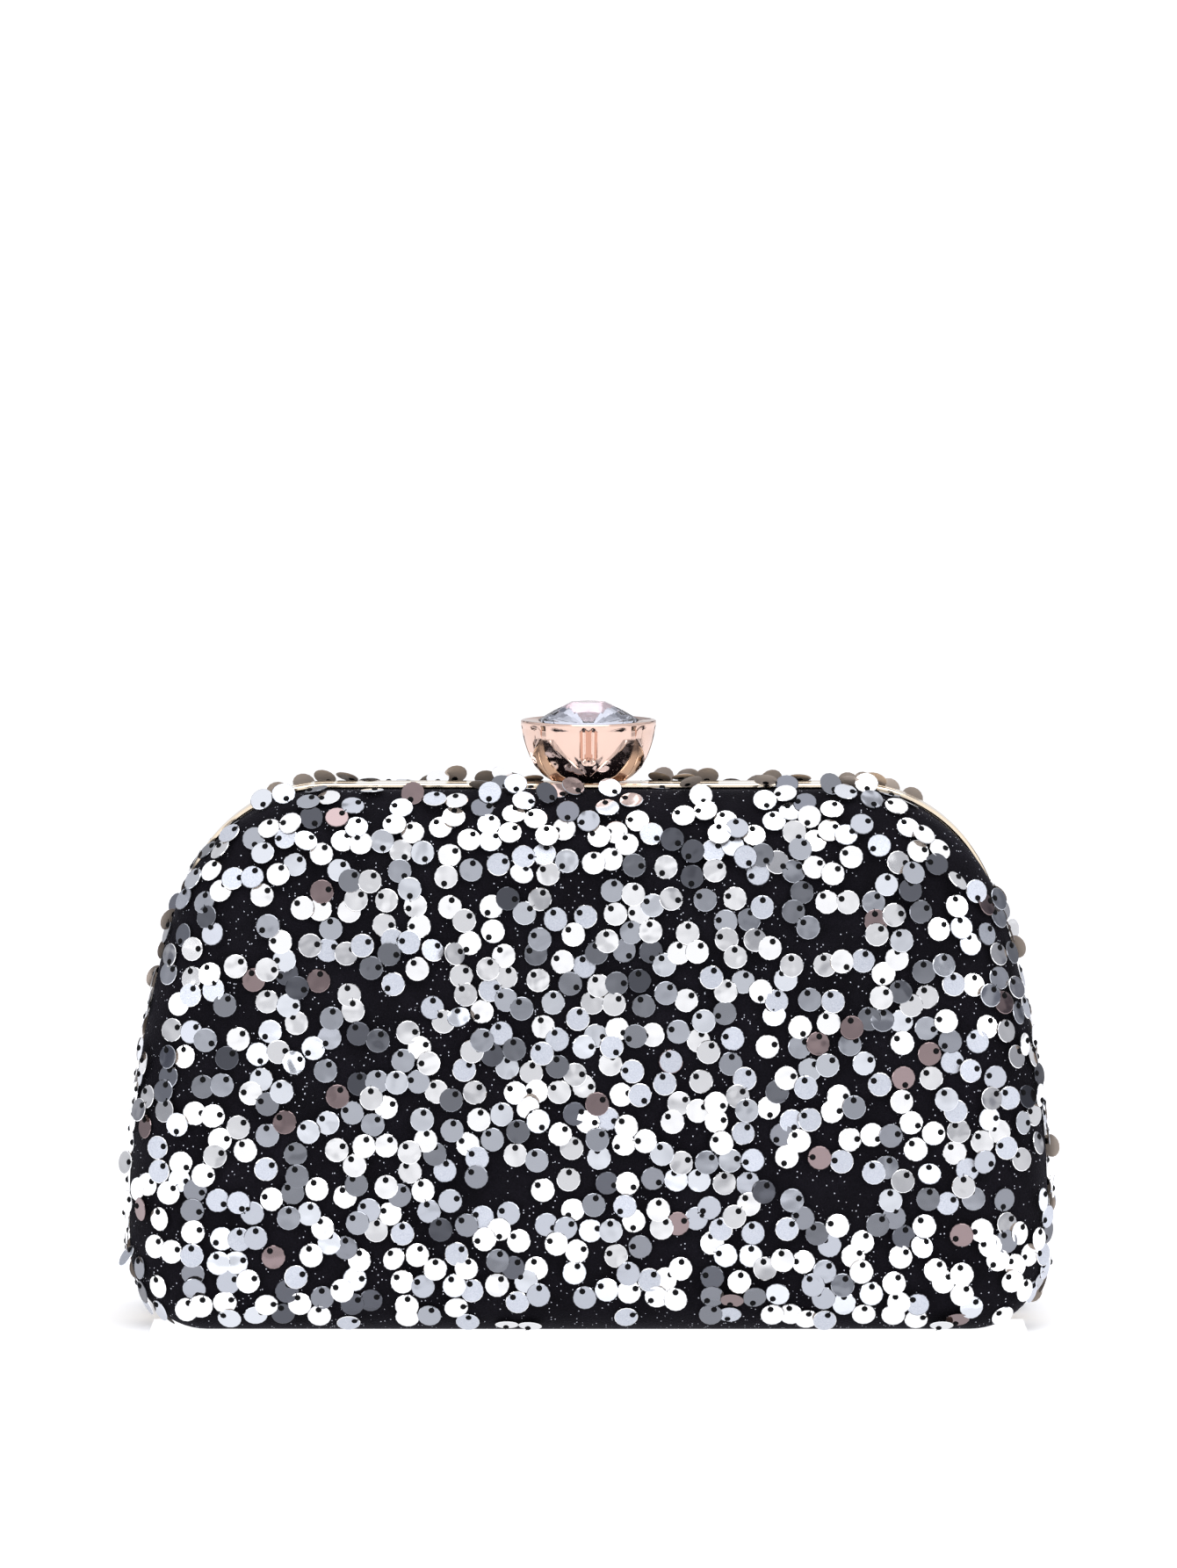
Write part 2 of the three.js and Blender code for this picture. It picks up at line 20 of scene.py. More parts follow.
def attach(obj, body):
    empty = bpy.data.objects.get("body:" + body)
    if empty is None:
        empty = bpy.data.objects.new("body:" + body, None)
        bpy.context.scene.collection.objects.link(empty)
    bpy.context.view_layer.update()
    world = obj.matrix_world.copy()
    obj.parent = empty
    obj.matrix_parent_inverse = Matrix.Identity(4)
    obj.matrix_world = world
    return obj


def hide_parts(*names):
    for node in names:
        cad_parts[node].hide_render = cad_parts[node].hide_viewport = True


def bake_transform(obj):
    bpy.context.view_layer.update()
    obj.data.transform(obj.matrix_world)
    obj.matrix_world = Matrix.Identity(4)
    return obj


bl_info = {
    "name": "Evening bag",
    "version": (1, 0, 0),
    "blender": (4, 5, 0),
    "location": "View3D > Sidebar > Bag",
    "description": "Builds a sequinned evening bag round its working frame",
    "category": "Add Mesh",
}

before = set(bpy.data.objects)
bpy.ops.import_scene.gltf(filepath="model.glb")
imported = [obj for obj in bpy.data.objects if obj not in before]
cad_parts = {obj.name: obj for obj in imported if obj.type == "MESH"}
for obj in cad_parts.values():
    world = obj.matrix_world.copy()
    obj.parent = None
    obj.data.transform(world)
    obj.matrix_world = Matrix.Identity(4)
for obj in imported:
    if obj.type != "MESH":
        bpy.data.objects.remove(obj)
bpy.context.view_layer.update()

MM = 0.001
HALVES = {"back": 1, "front": -1}  # which side of the meeting plane each half is on

# ------------------------------------------------------------------ sizes of the working parts, in mm

SIDE_CENTRE = {"x": -120, "z": 24}
FABRIC = {"top": 116.4, "bottom": 0, "side": 220, "shoulder": 33.5, "corner": 17}
FRAME = {"top": 117, "bottom": 1.8, "side": 219, "shoulder": 33, "corner": 16}
STEPS = {"top": 16, "shoulder": 22, "side": 24, "corner": 16, "bottom": 20}  # faces round each stretch
HALF_GAP = 0.15
RAIL = {"depth": 4.4, "thick": 0.9}
WEB = {"depth": 1.35, "width": 7}
LOCK_TAB = {"half_width": 18, "bottom": 95}
COVER = {"rim_inset": 1.2, "rim_y": 1.65, "lip_y": 4.9, "swell_y": 6.2, "turn_y": 7.6, "base_y": 14}
ROUND = {"top": 18, "side": 18, "bottom": 12}
DEPTH = {"low": 24.8, "high": 16.2, "low_z": 25, "high_z": 117, "crown": 1.2, "crown_half": 82}
MIDDLE_Z = 56  # the height that the faces' rings close in on
PULL = {"top": 0.4, "side": 0.7, "shoulder": 3.5, "ends": 2.9}  # how the velvet draws the padding in
VELVET = {"outer": 0, "inner": 0.8}
FOAM = {"outer": 1.1, "inner": 2.6}
SATIN = {"outer": 4.7, "inner": 5.5}
HINGE = {
    "x": 52, "half": 11, "rivet": 7, "rivet_z": 6.2, "pocket_y": 3.7, "pocket_z": 10.5,
    "notch_y": 2.75, "notch_z": 3.4,
}
RIVET_HOLE = 1.1
BLADE = {"left": -2.05, "right": 5.55, "near": 1.35, "far": 3.45, "pocket_low": 100}
STUD = {"z": 102, "window": 2.5, "shank_hole": 1.7}
LOCK_RIVETS = [(-15.7, 102), (15.7, 102), (6.5, 98.1)]
CUP = {"y": 2.4, "base": 117.3, "rim": 130.4, "radius": 14.65, "straight": 2.6, "fall": 12.7}
CUP_SEAT = {"radius": 11.3, "drop": 0.45, "girdle": 10.8, "girdle_z": 130.1, "culet": 123.7, "gap": 0.35}
CUP_BORE = {"wide": 5, "floor": 2, "shank": 1.3}
LATCH = {"x": 1.2, "thick": 0.5, "near": 1.65, "plate_far": 2.25, "far": 3.3, "right": 9.5}
LATCH_Z = {"low": 96.6, "plate": 99.6, "high": 106.3}
CLASP_TRAVEL = 3.5
WELL = {"x": (-94.5, 94.5), "y": (-33, -3)}
WELD = 1e-7  # metres within which two vertices are one
SOFT_CREASE, CREASE, FRAME_CREASE = math.radians(60), math.radians(32), math.radians(20)


# ------------------------------------------------------------------ settings

class BagCoverSettings(bpy.types.PropertyGroup):
    """The velvet, the padding under it and the lining."""

    velvet: FloatVectorProperty(
        name="Velvet", description="Colour of the velvet's pile", subtype="COLOR",
        default=(0.0018, 0.0016, 0.0024))
    glitter_cell: FloatProperty(
        name="Glitter spacing", description="Distance between flecks of glitter", unit="LENGTH",
        default=0.00042)
    glitter_share: FloatProperty(
        name="Glitter share", description="Share of the cells that hold a fleck", subtype="FACTOR",
        default=0.055)
    ripple: FloatProperty(
        name="Ripple", description="Depth of the soft unevenness of the padding", unit="LENGTH",
        default=0.0005)
    slack: FloatProperty(
        name="Lining slack", description="Depth of the soft folds in the lining", unit="LENGTH",
        default=0.0018)
    satin: FloatVectorProperty(
        name="Satin", description="Colour of the lining", subtype="COLOR", default=(0.38, 0.375, 0.40))
    foam: FloatVectorProperty(
        name="Foam", description="Colour of the padding", subtype="COLOR", default=(0.62, 0.58, 0.48))
    board: FloatVectorProperty(
        name="Shell board", description="Colour of the hard shell", subtype="COLOR",
        default=(0.022, 0.022, 0.025))


class BagSequinSettings(bpy.types.PropertyGroup):
    """The loose sequins and the threads that hold them."""

    diameter: FloatProperty(
        name="Diameter", description="Width of a sequin", unit="LENGTH", default=0.0051)
    rim: FloatProperty(
        name="Rim width", description="Width of the pressed edge", unit="LENGTH", default=0.00013)
    rise: FloatProperty(
        name="Thickness", description="Height of the flat over the edge", unit="LENGTH", default=0.0001)
    hole: FloatProperty(
        name="Hole", description="Radius of the sewing hole", unit="LENGTH", default=0.00056)
    hole_place: FloatProperty(
        name="Hole place", description="Distance of the hole from the middle", unit="LENGTH",
        default=0.0015)
    density: FloatProperty(
        name="Density", description="Sequins on each square millimetre", default=0.0290)
    seed: IntProperty(name="Seed", description="Which scatter is drawn", default=7)


class BagMetalSettings(bpy.types.PropertyGroup):
    """The metals and the stone."""

    gold: FloatVectorProperty(
        name="Pale gold", description="Colour of the frames and hinges", subtype="COLOR",
        default=(0.90, 0.77, 0.60))
    rose: FloatVectorProperty(
        name="Rose gold", description="Colour of the cup", subtype="COLOR", default=(0.76, 0.55, 0.465))
    steel: FloatVectorProperty(
        name="Steel", description="Colour of the pins, post and spring", subtype="COLOR",
        default=(0.56, 0.57, 0.58))
    stone: FloatVectorProperty(
        name="Stone", description="Tint of the crystal", subtype="COLOR", default=(0.80, 0.83, 0.95))
    facet_depth: FloatProperty(
        name="Flute depth", description="Depth of the cup's fluted panels", unit="LENGTH",
        default=0.0014)


class BagStageSettings(bpy.types.PropertyGroup):
    """The camera, the lights and the floor."""

    focal: FloatProperty(name="Focal length", description="Lens, in millimetres", default=138)
    distance: FloatProperty(
        name="Distance", description="From the lens to the bag", unit="LENGTH", default=1.30)
    aim: FloatProperty(
        name="Aim height", description="Height that the camera looks at", unit="LENGTH", default=0.1166)
    pitch: FloatProperty(
        name="Pitch", description="How far the camera looks down", subtype="ANGLE",
        default=math.radians(5.2))
    key: FloatProperty(name="Key light", description="Power of the overhead light, in watts", default=4.5)
    side: FloatProperty(name="Side light", description="Power of each side light, in watts", default=2.2)
    sky: FloatProperty(name="Studio", description="Brightness of the studio's walls", default=1.0)


# ------------------------------------------------------------------ materials

class Value:
    """A node's output in an expression: each sum, difference, product or test adds a Math node."""

    def __init__(self, finish, socket):
        self.finish = finish
        self.socket = socket

    def _math(self, operation, first, second):
        return self.finish.node("ShaderNodeMath", {"operation": operation}, [first, second])

    def __add__(self, other):
        return self._math("ADD", self, other)

    def __rsub__(self, other):
        return self._math("SUBTRACT", other, self)

    def __mul__(self, other):
        return self._math("MULTIPLY", self, other)

    def __lt__(self, other):
        return self._math("LESS_THAN", self, other)


class Finish:
    """A node tree and what it ends in: a material's shader, or the studio's background."""

    def __init__(self, owner, shader):
        owner.use_nodes = True
        self.owner = owner
        self.tree = owner.node_tree
        self.shader = self.tree.nodes[shader]

    def node(self, kind, settings=None, inputs=(), output=0):
        """Any node: its settings first, then its inputs by place or by name. Returns one output."""
        made = self.tree.nodes.new(kind)
        for name, value in (settings or {}).items():
            if name == "stops":
                self._stops(made.color_ramp, value)
            else:
                setattr(made, name, value)
        named = inputs.items() if isinstance(inputs, dict) else enumerate(inputs)
        for place, value in named:
            self._feed(made.inputs[place], value)
        return Value(self, made.outputs[output])

    def _stops(self, ramp, stops):
        while len(ramp.elements) < len(stops):
            ramp.elements.new(1)
        for element, (position, colour) in zip(ramp.elements, stops):
            element.position = position
            element.color = (*colour, 1)

    def _feed(self, socket, value):
        if isinstance(value, Value):
            self.tree.links.new(value.socket, socket)
        elif hasattr(socket.default_value, "__len__") and hasattr(value, "__len__"):
            socket.default_value = (*value, 1)[: len(socket.default_value)]
        else:
            socket.default_value = value

    def shade(self, **sockets):
        """Sets or links the shader's own sockets, named with _ for a space."""
        for name, value in sockets.items():
            self._feed(self.shader.inputs[name.replace("_", " ")], value)
        return self

    def coordinates(self, scale=(1, 1, 1)):
        """Object coordinates, stretched along an axis by a smaller scale."""
        place = self.node("ShaderNodeTexCoord", output="Object")
        return self.node("ShaderNodeMapping", {"vector_type": "POINT"}, {"Vector": place, "Scale": scale})

    def noise(self, place, scale, detail=2.0):
        return self.node("ShaderNodeTexNoise", None, {"Vector": place, "Scale": scale, "Detail": detail})

    def bump(self, height, distance, strength=1.0):
        return self.node(
            "ShaderNodeBump", None, {"Height": height, "Distance": distance, "Strength": strength})

    def mix(self, factor, first, second):
        return self.node(
            "ShaderNodeMix", {"data_type": "RGBA"}, {0: factor, 6: first, 7: second}, output=2)

    def cells(self, place, scale, output):
        return self.node(
            "ShaderNodeTexVoronoi", {"feature": "F1"}, {"Vector": place, "Scale": scale}, output=output)

    def attribute(self, name):
        return self.node("ShaderNodeAttribute", {"attribute_name": name}, output="Fac")


def new_finish(name):
    return Finish(bpy.data.materials.new(name), "Principled BSDF")


def shaded(share, colour):
    """A colour made darker or paler by a share."""
    return tuple(share * channel for channel in colour)


def velvet_finish(settings):
    """Black velvet: a dark crushed pile with sparse flecks of glitter."""
    finish = new_finish("black_velvet")
    place = finish.coordinates()
    crush = finish.noise(place, 140)
    pile = finish.noise(place, 2600, 4)
    grid = 1 / settings.glitter_cell
    cell = finish.node("ShaderNodeSeparateColor", None, [finish.cells(place, grid, "Color")])
    reach = finish.cells(place, grid, "Distance")
    fleck = (cell < settings.glitter_share) * (reach < 0.33)
    cloth = finish.mix(crush * pile * 1.1, tuple(settings.velvet), shaded(9, settings.velvet))
    colour = finish.mix(fleck, cloth, (0.62, 0.64, 0.72))
    height = pile + crush * 0.6
    return finish.shade(
        Base_Color=colour, Roughness=0.86 - fleck * 0.55, Metallic=fleck * 0.8, Sheen_Weight=0.10,
        Sheen_Roughness=0.3, Sheen_Tint=(0.5, 0.5, 0.62), Specular_IOR_Level=0.06,
        Normal=finish.bump(height, 0.00035, 0.8)).owner


def satin_finish(settings):
    """Silver-grey satin: a fine twill with a soft lustre."""
    finish = new_finish("satin_lining")
    place = finish.coordinates(scale=(1, 1, 0.35))
    slub = finish.noise(place, 900, 3)
    wave = finish.node(
        "ShaderNodeTexWave", {"wave_type": "BANDS", "bands_direction": "DIAGONAL"},
        {"Vector": finish.coordinates(), "Scale": 900, "Distortion": 0.6}, output="Fac")
    return finish.shade(
        Base_Color=finish.mix(slub, shaded(0.82, settings.satin), tuple(settings.satin)),
        Roughness=slub * 0.12 + 0.34, Sheen_Weight=0.2, Sheen_Roughness=0.3,
        Normal=finish.bump(wave + slub, 0.00008, 0.5)).owner


def foam_finish(settings):
    """Open-celled foam."""
    finish = new_finish("foam")
    pores = finish.cells(finish.coordinates(), 1600, "Distance")
    return finish.shade(
        Base_Color=finish.mix(pores, shaded(0.6, settings.foam), tuple(settings.foam)), Roughness=0.95,
        Normal=finish.bump(pores, 0.0003)).owner


def board_finish(settings):
    """Moulded fibre board."""
    finish = new_finish("shell_board")
    grain = finish.noise(finish.coordinates(), 700, 5)
    return finish.shade(
        Base_Color=finish.mix(grain, tuple(settings.board), shaded(2.2, settings.board)),
        Roughness=grain * 0.2 + 0.5, Normal=finish.bump(grain, 0.0001)).owner


def metal_finish(name, colour, roughness):
    """Plated metal: a polished skin with faint waves, hairlines and a slightly duller patchwork."""
    finish = new_finish(name)
    place = finish.coordinates()
    patches = finish.noise(place, 260, 3)
    hairlines = finish.noise(finish.coordinates(scale=(1, 1, 14)), 2200, 2)
    return finish.shade(
        Base_Color=finish.mix(patches, shaded(0.93, colour), tuple(colour)), Metallic=1.0,
        Roughness=patches * (roughness * 0.6) + roughness * 0.7,
        Normal=finish.bump(patches + hairlines * 0.08, 0.00004, 0.4)).owner


def crystal_finish(settings):
    """Clear cut stone with a cool tint."""
    finish = new_finish("crystal")
    cloud = finish.noise(finish.coordinates(), 120)
    return finish.shade(
        Base_Color=finish.mix(cloud * 0.3, tuple(settings.stone), (0.72, 0.75, 0.88)),
        Roughness=cloud * 0.02 + 0.015, Transmission_Weight=1.0, IOR=1.52).owner


def sequin_finish():
    """Mirror film: each disc has its own shade, white for most and, for the rest, one of a few greys that are
    painted reflections of the darker studio; some are frosted, and all are tan below.
    """
    finish = new_finish("mirror_sequin")
    shade, frost, under = (finish.attribute(name) for name in ("shade", "frost", "under"))
    # Painted reflections: the stops after the white one paint darker parts of the studio into single discs'
    # colour.
    stops = [
        (0.0, (0.98, 0.985, 1.0)), (0.55, (0.76, 0.79, 0.85)), (0.70, (0.43, 0.45, 0.50)),
        (0.81, (0.23, 0.24, 0.27)), (0.92, (0.11, 0.115, 0.135)), (0.97, (0.28, 0.215, 0.22)),
    ]
    tone = finish.node("ShaderNodeValToRGB", {"stops": stops}, [shade])
    tone.socket.node.color_ramp.interpolation = "CONSTANT"
    place = finish.coordinates()
    grain = finish.noise(place, 3800, 3)
    bend = finish.noise(place, 210, 1)
    speckled = finish.mix(grain * 0.7, (0.42, 0.46, 0.55), (0.95, 0.96, 1.0))
    height = bend + grain * frost * 0.5
    film = finish.mix(frost, tone, speckled)
    return finish.shade(
        Base_Color=finish.mix(under, film, (0.66, 0.56, 0.48)), Metallic=1.0 - under * 0.9,
        Roughness=frost * 0.32 + 0.07 + under * 0.25, Normal=finish.bump(height, 0.00022, 0.5)).owner


def thread_finish():
    """Black sewing thread with a slight lustre."""
    finish = new_finish("sewing_thread")
    twist = finish.noise(finish.coordinates(), 5200, 2)
    return finish.shade(
        Base_Color=finish.mix(twist, (0.0015, 0.0015, 0.002), (0.008, 0.008, 0.009)), Roughness=0.8,
        Specular_IOR_Level=0.1, Normal=finish.bump(twist, 0.00005)).owner


# ------------------------------------------------------------------ meshes and pieces

def only(kind, geometry):
    """The items of one kind, such as vertices, from what a bmesh operator made."""
    return [item for item in geometry if isinstance(item, kind)]


def as_mesh(bm, name):
    """A bmesh as a mesh, with the bmesh freed."""
    mesh = bpy.data.meshes.new(name)
    bm.to_mesh(mesh)
    bm.free()
    return mesh


def as_piece(bm, name, material):
    """A bmesh as an object at the origin, with its material."""
    mesh = as_mesh(bm, name)
    mesh.materials.append(material)
    piece = bpy.data.objects.new(name, mesh)
    bpy.context.scene.collection.objects.link(piece)
    return piece


def keep_creases(bm, sharp):
    """Smooth faces, with the edges that turn by more than an angle kept sharp."""
    for face in bm.faces:
        face.smooth = True
    for edge in bm.edges:
        edge.smooth = edge.calc_face_angle(math.pi) < sharp


def finish_piece(bm, name, material, sharp=CREASE):
    """A bmesh as a finished piece: doubles merged, normals out and creases kept sharp."""
    bmesh.ops.remove_doubles(bm, verts=bm.verts, dist=WELD)
    bmesh.ops.recalc_face_normals(bm, faces=bm.faces)
    keep_creases(bm, sharp)
    return as_piece(bm, name, material)


def combine(piece, shapes, operation):
    """Joins a bmesh of closed shapes to a piece (UNION), or cuts it out of the piece (DIFFERENCE)."""
    tool = finish_piece(shapes, "tool", piece.data.materials[0])
    change = piece.modifiers.new("Combine", "BOOLEAN")
    change.operation = operation
    change.solver = "EXACT"
    change.use_self = True
    change.object = tool
    depsgraph = bpy.context.evaluated_depsgraph_get()
    mesh = bpy.data.meshes.new_from_object(piece.evaluated_get(depsgraph))
    piece.modifiers.clear()
    piece.data = mesh
    bpy.data.objects.remove(tool)


def cut_away(piece, cutters, sharp=CREASE):
    """Cuts a bmesh of closed shapes out of a piece, and keeps its creases."""
    combine(piece, cutters, "DIFFERENCE")
    bm = bmesh.new()
    bm.from_mesh(piece.data)
    bmesh.ops.remove_doubles(bm, verts=bm.verts, dist=10 * WELD)
    keep_creases(bm, sharp)
    bm.to_mesh(piece.data)
    bm.free()


def add_box(bm, x, y, z):
    """A box between two values along each axis, in mm."""
    middle = Vector((sum(x) / 2, sum(y) / 2, sum(z) / 2)) * MM
    size = Vector((x[1] - x[0], y[1] - y[0], z[1] - z[0])) * MM
    matrix = Matrix.Translation(middle) @ Matrix.Diagonal((*size, 1))
    return bmesh.ops.create_cube(bm, size=1, matrix=matrix)["verts"]


def add_bar(bm, x, z, radius, y, segments=32):
    """A round bar along Y, in mm."""
    matrix = Matrix.Translation(Vector((x, sum(y) / 2, z)) * MM) @ Matrix.Rotation(math.pi / 2, 4, "X")
    bmesh.ops.create_cone(
        bm, cap_ends=True, segments=segments, radius1=radius * MM, radius2=radius * MM,
        depth=abs(y[1] - y[0]) * MM, matrix=matrix)


def bevel(bm, edges, width, segments):
    """Rounds edges by a width in mm."""
    bmesh.ops.bevel(
        bm, geom=edges, offset=width * MM, affect="EDGES", segments=segments, profile=0.5, material=-1)


def edges_along_y(bm):
    """The edges that run from front to back."""
    return [edge for edge in bm.edges if abs(edge.verts[0].co.y - edge.verts[1].co.y) > 1e-6]


def mirror_to_front(bm):
    """Turns a back-half shape into a front-half one."""
    bmesh.ops.scale(bm, vec=(1, -1, 1), verts=bm.verts)
    bmesh.ops.reverse_faces(bm, faces=bm.faces)


def give_material(material, slot, *nodes):
    """A finish for CAD nodes whose shape is right."""
    for name in nodes:
        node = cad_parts[name]
        node.data.materials.clear()
        node.data.materials.append(material)


# ------------------------------------------------------------------ the outline of the bag, in mm

def arcs(shape, top, side, bottom):
    """The outline's arcs when it is inset by a distance of its own at each edge."""
    high, low = shape["top"] - top, shape["bottom"] + bottom
    reach = shape["side"] - side
    shoulder = max(4, shape["shoulder"] - (top + side) / 2)
    corner = max(3, shape["corner"] - (bottom + side) / 2)
    found = {"top": high, "bottom": low, "side": reach, "shoulder": shoulder, "corner": corner}
    for name, radius, z in (("shoulder", shoulder, high - shoulder), ("corner", corner, low + corner)):
        x = SIDE_CENTRE["x"] + math.sqrt((reach - radius) ** 2 - (z - SIDE_CENTRE["z"]) ** 2)
        found[f"{name}_at"] = (x, z)
        found[f"{name}_turn"] = math.atan2(z - SIDE_CENTRE["z"], x - SIDE_CENTRE["x"])
    return found


def outline(shape, top, side, bottom):
    """Points clockwise round the outline from the middle of the top: x, z and how far each faces down."""
    a = arcs(shape, top, side, bottom)

    def along(x, z, radius, start, end, steps):
        turns = [start + (end - start) * i / steps for i in range(steps)]
        return [(x + radius * math.cos(t), z + radius * math.sin(t), max(0, -math.sin(t))) for t in turns]

    def level(start, end, z, steps, down):
        return [(start + (end - start) * i / steps, z, down) for i in range(steps)]

    side_x, side_z = SIDE_CENTRE["x"], SIDE_CENTRE["z"]
    right = [
        *level(0, a["shoulder_at"][0], a["top"], STEPS["top"], 0),
        *along(*a["shoulder_at"], a["shoulder"], math.pi / 2, a["shoulder_turn"], STEPS["shoulder"]),
        *along(side_x, side_z, a["side"], a["shoulder_turn"], a["corner_turn"], STEPS["side"]),
        *along(*a["corner_at"], a["corner"], a["corner_turn"], -math.pi / 2, STEPS["corner"]),
        *level(a["corner_at"][0], 0, a["bottom"], STEPS["bottom"], 1),
        (0, a["bottom"], 1),
    ]
    return right + [(-x, z, down) for x, z, down in right[-2:0:-1]]


def face_depth(x, z):
    """How far the face of the bag stands from the meeting plane."""
    rise = min(1, max(0, (z - DEPTH["low_z"]) / (DEPTH["high_z"] - DEPTH["low_z"])))
    bulge = max(0, 1 - (x / DEPTH["crown_half"]) ** 2)
    return DEPTH["low"] - (DEPTH["low"] - DEPTH["high"]) * rise ** 2 + DEPTH["crown"] * bulge


def rim_depth(x, z, back):
    """Where a layer's rim begins, further in where the hinges and the clasp's blade need room."""
    by_hinge = z < HINGE["pocket_z"] and abs(abs(x) - HINGE["x"]) < HINGE["half"] + 1.6
    by_blade = back and z > BLADE["pocket_low"] and BLADE["left"] - 1.7 < x < BLADE["right"] + 1.7
    if by_hinge or by_blade:
        return HINGE["pocket_y"]
    return COVER["rim_y"]


def drawn_in(inside):
    """The cover's outline at a depth: the tight velvet draws it in, less and less towards the hard shell."""
    share = max(0, 1 - inside / PULL["ends"])
    return FABRIC | {
        "top": FABRIC["top"] - PULL["top"] * share,
        "side": FABRIC["side"] - PULL["side"] * share,
        "shoulder": FABRIC["shoulder"] + PULL["shoulder"] * share,
    }


def skin_rings(inside, back, ripple=0, turns=14, faces=16):
    """The rings of one skin of the pillow from its rim to its middle, as lists of points in mm."""

    def even(shape, inset):
        return outline(shape, inset, inset, inset)

    def swelling(p):
        return COVER["turn_y"] + (COVER["base_y"] - COVER["turn_y"]) * p[2] ** 2

    def uneven(x, z, share):
        soft = noise.noise(Vector((x / 17, z / 17, 3.1))) + 0.5 * noise.noise(Vector((x / 7, z / 7, 8.4)))
        return ripple * share * (0.5 + 0.5 * soft)

    shape = drawn_in(inside)
    rim = even(FRAME, COVER["rim_inset"] + inside)
    full = even(shape, inside)
    rings = [
        [(x, rim_depth(x, z, back), z) for x, z, _ in rim],
        [(x, COVER["lip_y"], z) for x, z, _ in rim],
        [((x + u) / 2, (COVER["lip_y"] + COVER["swell_y"]) / 2 - 0.2, (z + w) / 2)
         for (x, z, _), (u, w, _) in zip(rim, full)],
        [(x, COVER["swell_y"], z) for x, z, _ in full],
        [(p[0], (COVER["swell_y"] + swelling(p)) / 2, p[1]) for p in full],
    ]
    for i in range(turns + 1):
        turn = math.pi / 2 * i / turns
        inset = {edge: radius - (radius - inside) * math.cos(turn) for edge, radius in ROUND.items()}
        ring = []
        for p in outline(shape, inset["top"], inset["side"], inset["bottom"]):
            start = swelling(p)
            depth = face_depth(p[0], p[1]) - start - inside - uneven(p[0], p[1], math.sin(turn))
            ring.append((p[0], start + depth * math.sin(turn), p[1]))
        rings.append(ring)
    edge = rings[-1]
    for i in range(1, faces):
        scale = 1 - i / faces
        ring = []
        for x, _, z in edge:
            u, w = x * scale, MIDDLE_Z + (z - MIDDLE_Z) * scale
            ring.append((u, face_depth(u, w) - inside - uneven(u, w, 1), w))
        rings.append(ring)
    return rings


def skin(bm, rings):
    """Lofts a skin through rings by extruding its edge, and closes the middle."""
    loop = bmesh.ops.create_circle(bm, segments=len(rings[0]), radius=1)["verts"]
    edges = bm.edges[:]
    place_ring(loop, rings[0])
    for ring in rings[1:]:
        made = bmesh.ops.extrude_edge_only(bm, edges=edges)["geom"]
        verts = only(bmesh.types.BMVert, made)
        edges = only(bmesh.types.BMEdge, made)
        order = {vert: i for i, vert in enumerate(loop)}
        above = {
            vert: next(edge.other_vert(vert) for edge in vert.link_edges if edge not in edges)
            for vert in verts}
        verts.sort(key=lambda vert: order[above[vert]])
        place_ring(verts, ring)
        loop = verts
    middle = sum((vert.co for vert in loop), Vector()) / len(loop)
    centre = bmesh.ops.extrude_edge_only(bm, edges=edges)["geom"]
    bmesh.ops.pointmerge(bm, verts=only(bmesh.types.BMVert, centre), merge_co=middle)
    bmesh.ops.recalc_face_normals(bm, faces=bm.faces)


def place_ring(verts, ring):
    """Moves a loop of vertices to points in mm."""
    for vert, point in zip(verts, ring):
        vert.co = Vector(point) * MM


def bowl(half, layer, ripple=0, faces=16):
    """A bowl-shaped layer of one half: its outer and inner skins, bridged round the rim."""
    back = half == "back"
    bm = bmesh.new()
    skin(bm, skin_rings(layer["outer"], back, ripple, faces=faces))
    inner = bmesh.new()
    skin(inner, skin_rings(layer["inner"], back, ripple, faces=faces))
    bmesh.ops.reverse_faces(inner, faces=inner.faces)
    mesh = as_mesh(inner, "inner_skin")
    bm.from_mesh(mesh)
    bpy.data.meshes.remove(mesh)
    bmesh.ops.bridge_loops(bm, edges=[edge for edge in bm.edges if edge.is_boundary])
    if not back:
        mirror_to_front(bm)
    return bm


def sweep(shape, section):
    """A section of (inset, depth) points carried round the outline, mirrored and closed."""
    a = arcs(shape, 0, 0, 0)
    bm = bmesh.new()
    verts = [bm.verts.new(Vector((0, depth, a["top"] - inset)) * MM) for inset, depth in section]
    edges = [bm.edges.new((verts[i - 1], verts[i])) for i in range(len(verts))]
    last = verts + edges

    def run(offset):
        made = bmesh.ops.extrude_edge_only(bm, edges=only(bmesh.types.BMEdge, last))["geom"]
        bmesh.ops.translate(bm, vec=Vector(offset) * MM, verts=only(bmesh.types.BMVert, made))
        return [item for item in made if not isinstance(item, bmesh.types.BMFace)]

    def turn(centre, angle, steps):
        return bmesh.ops.spin(
            bm, geom=last, cent=Vector((centre[0], 0, centre[1])) * MM, axis=(0, 1, 0), angle=angle,
            steps=steps, use_merge=False, use_normal_flip=False)["geom_last"]

    last = run((a["shoulder_at"][0], 0, 0))
    last = turn(a["shoulder_at"], math.pi / 2 - a["shoulder_turn"], 40)
    last = turn((SIDE_CENTRE["x"], SIDE_CENTRE["z"]), a["shoulder_turn"] - a["corner_turn"], 24)
    last = turn(a["corner_at"], a["corner_turn"] + math.pi / 2, 32)
    run((-a["corner_at"][0], 0, 0))
    bmesh.ops.mirror(bm, geom=bm.verts[:] + bm.edges[:] + bm.faces[:], axis="X", merge_dist=10 * WELD)
    bmesh.ops.remove_doubles(bm, verts=bm.verts, dist=10 * WELD)
    bmesh.ops.recalc_face_normals(bm, faces=bm.faces)
    return bm


def stand_in(piece, body, solid):
    """Puts a piece in the place of a plain solid, on the body that carries it."""
    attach(piece, body)
    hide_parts(solid)


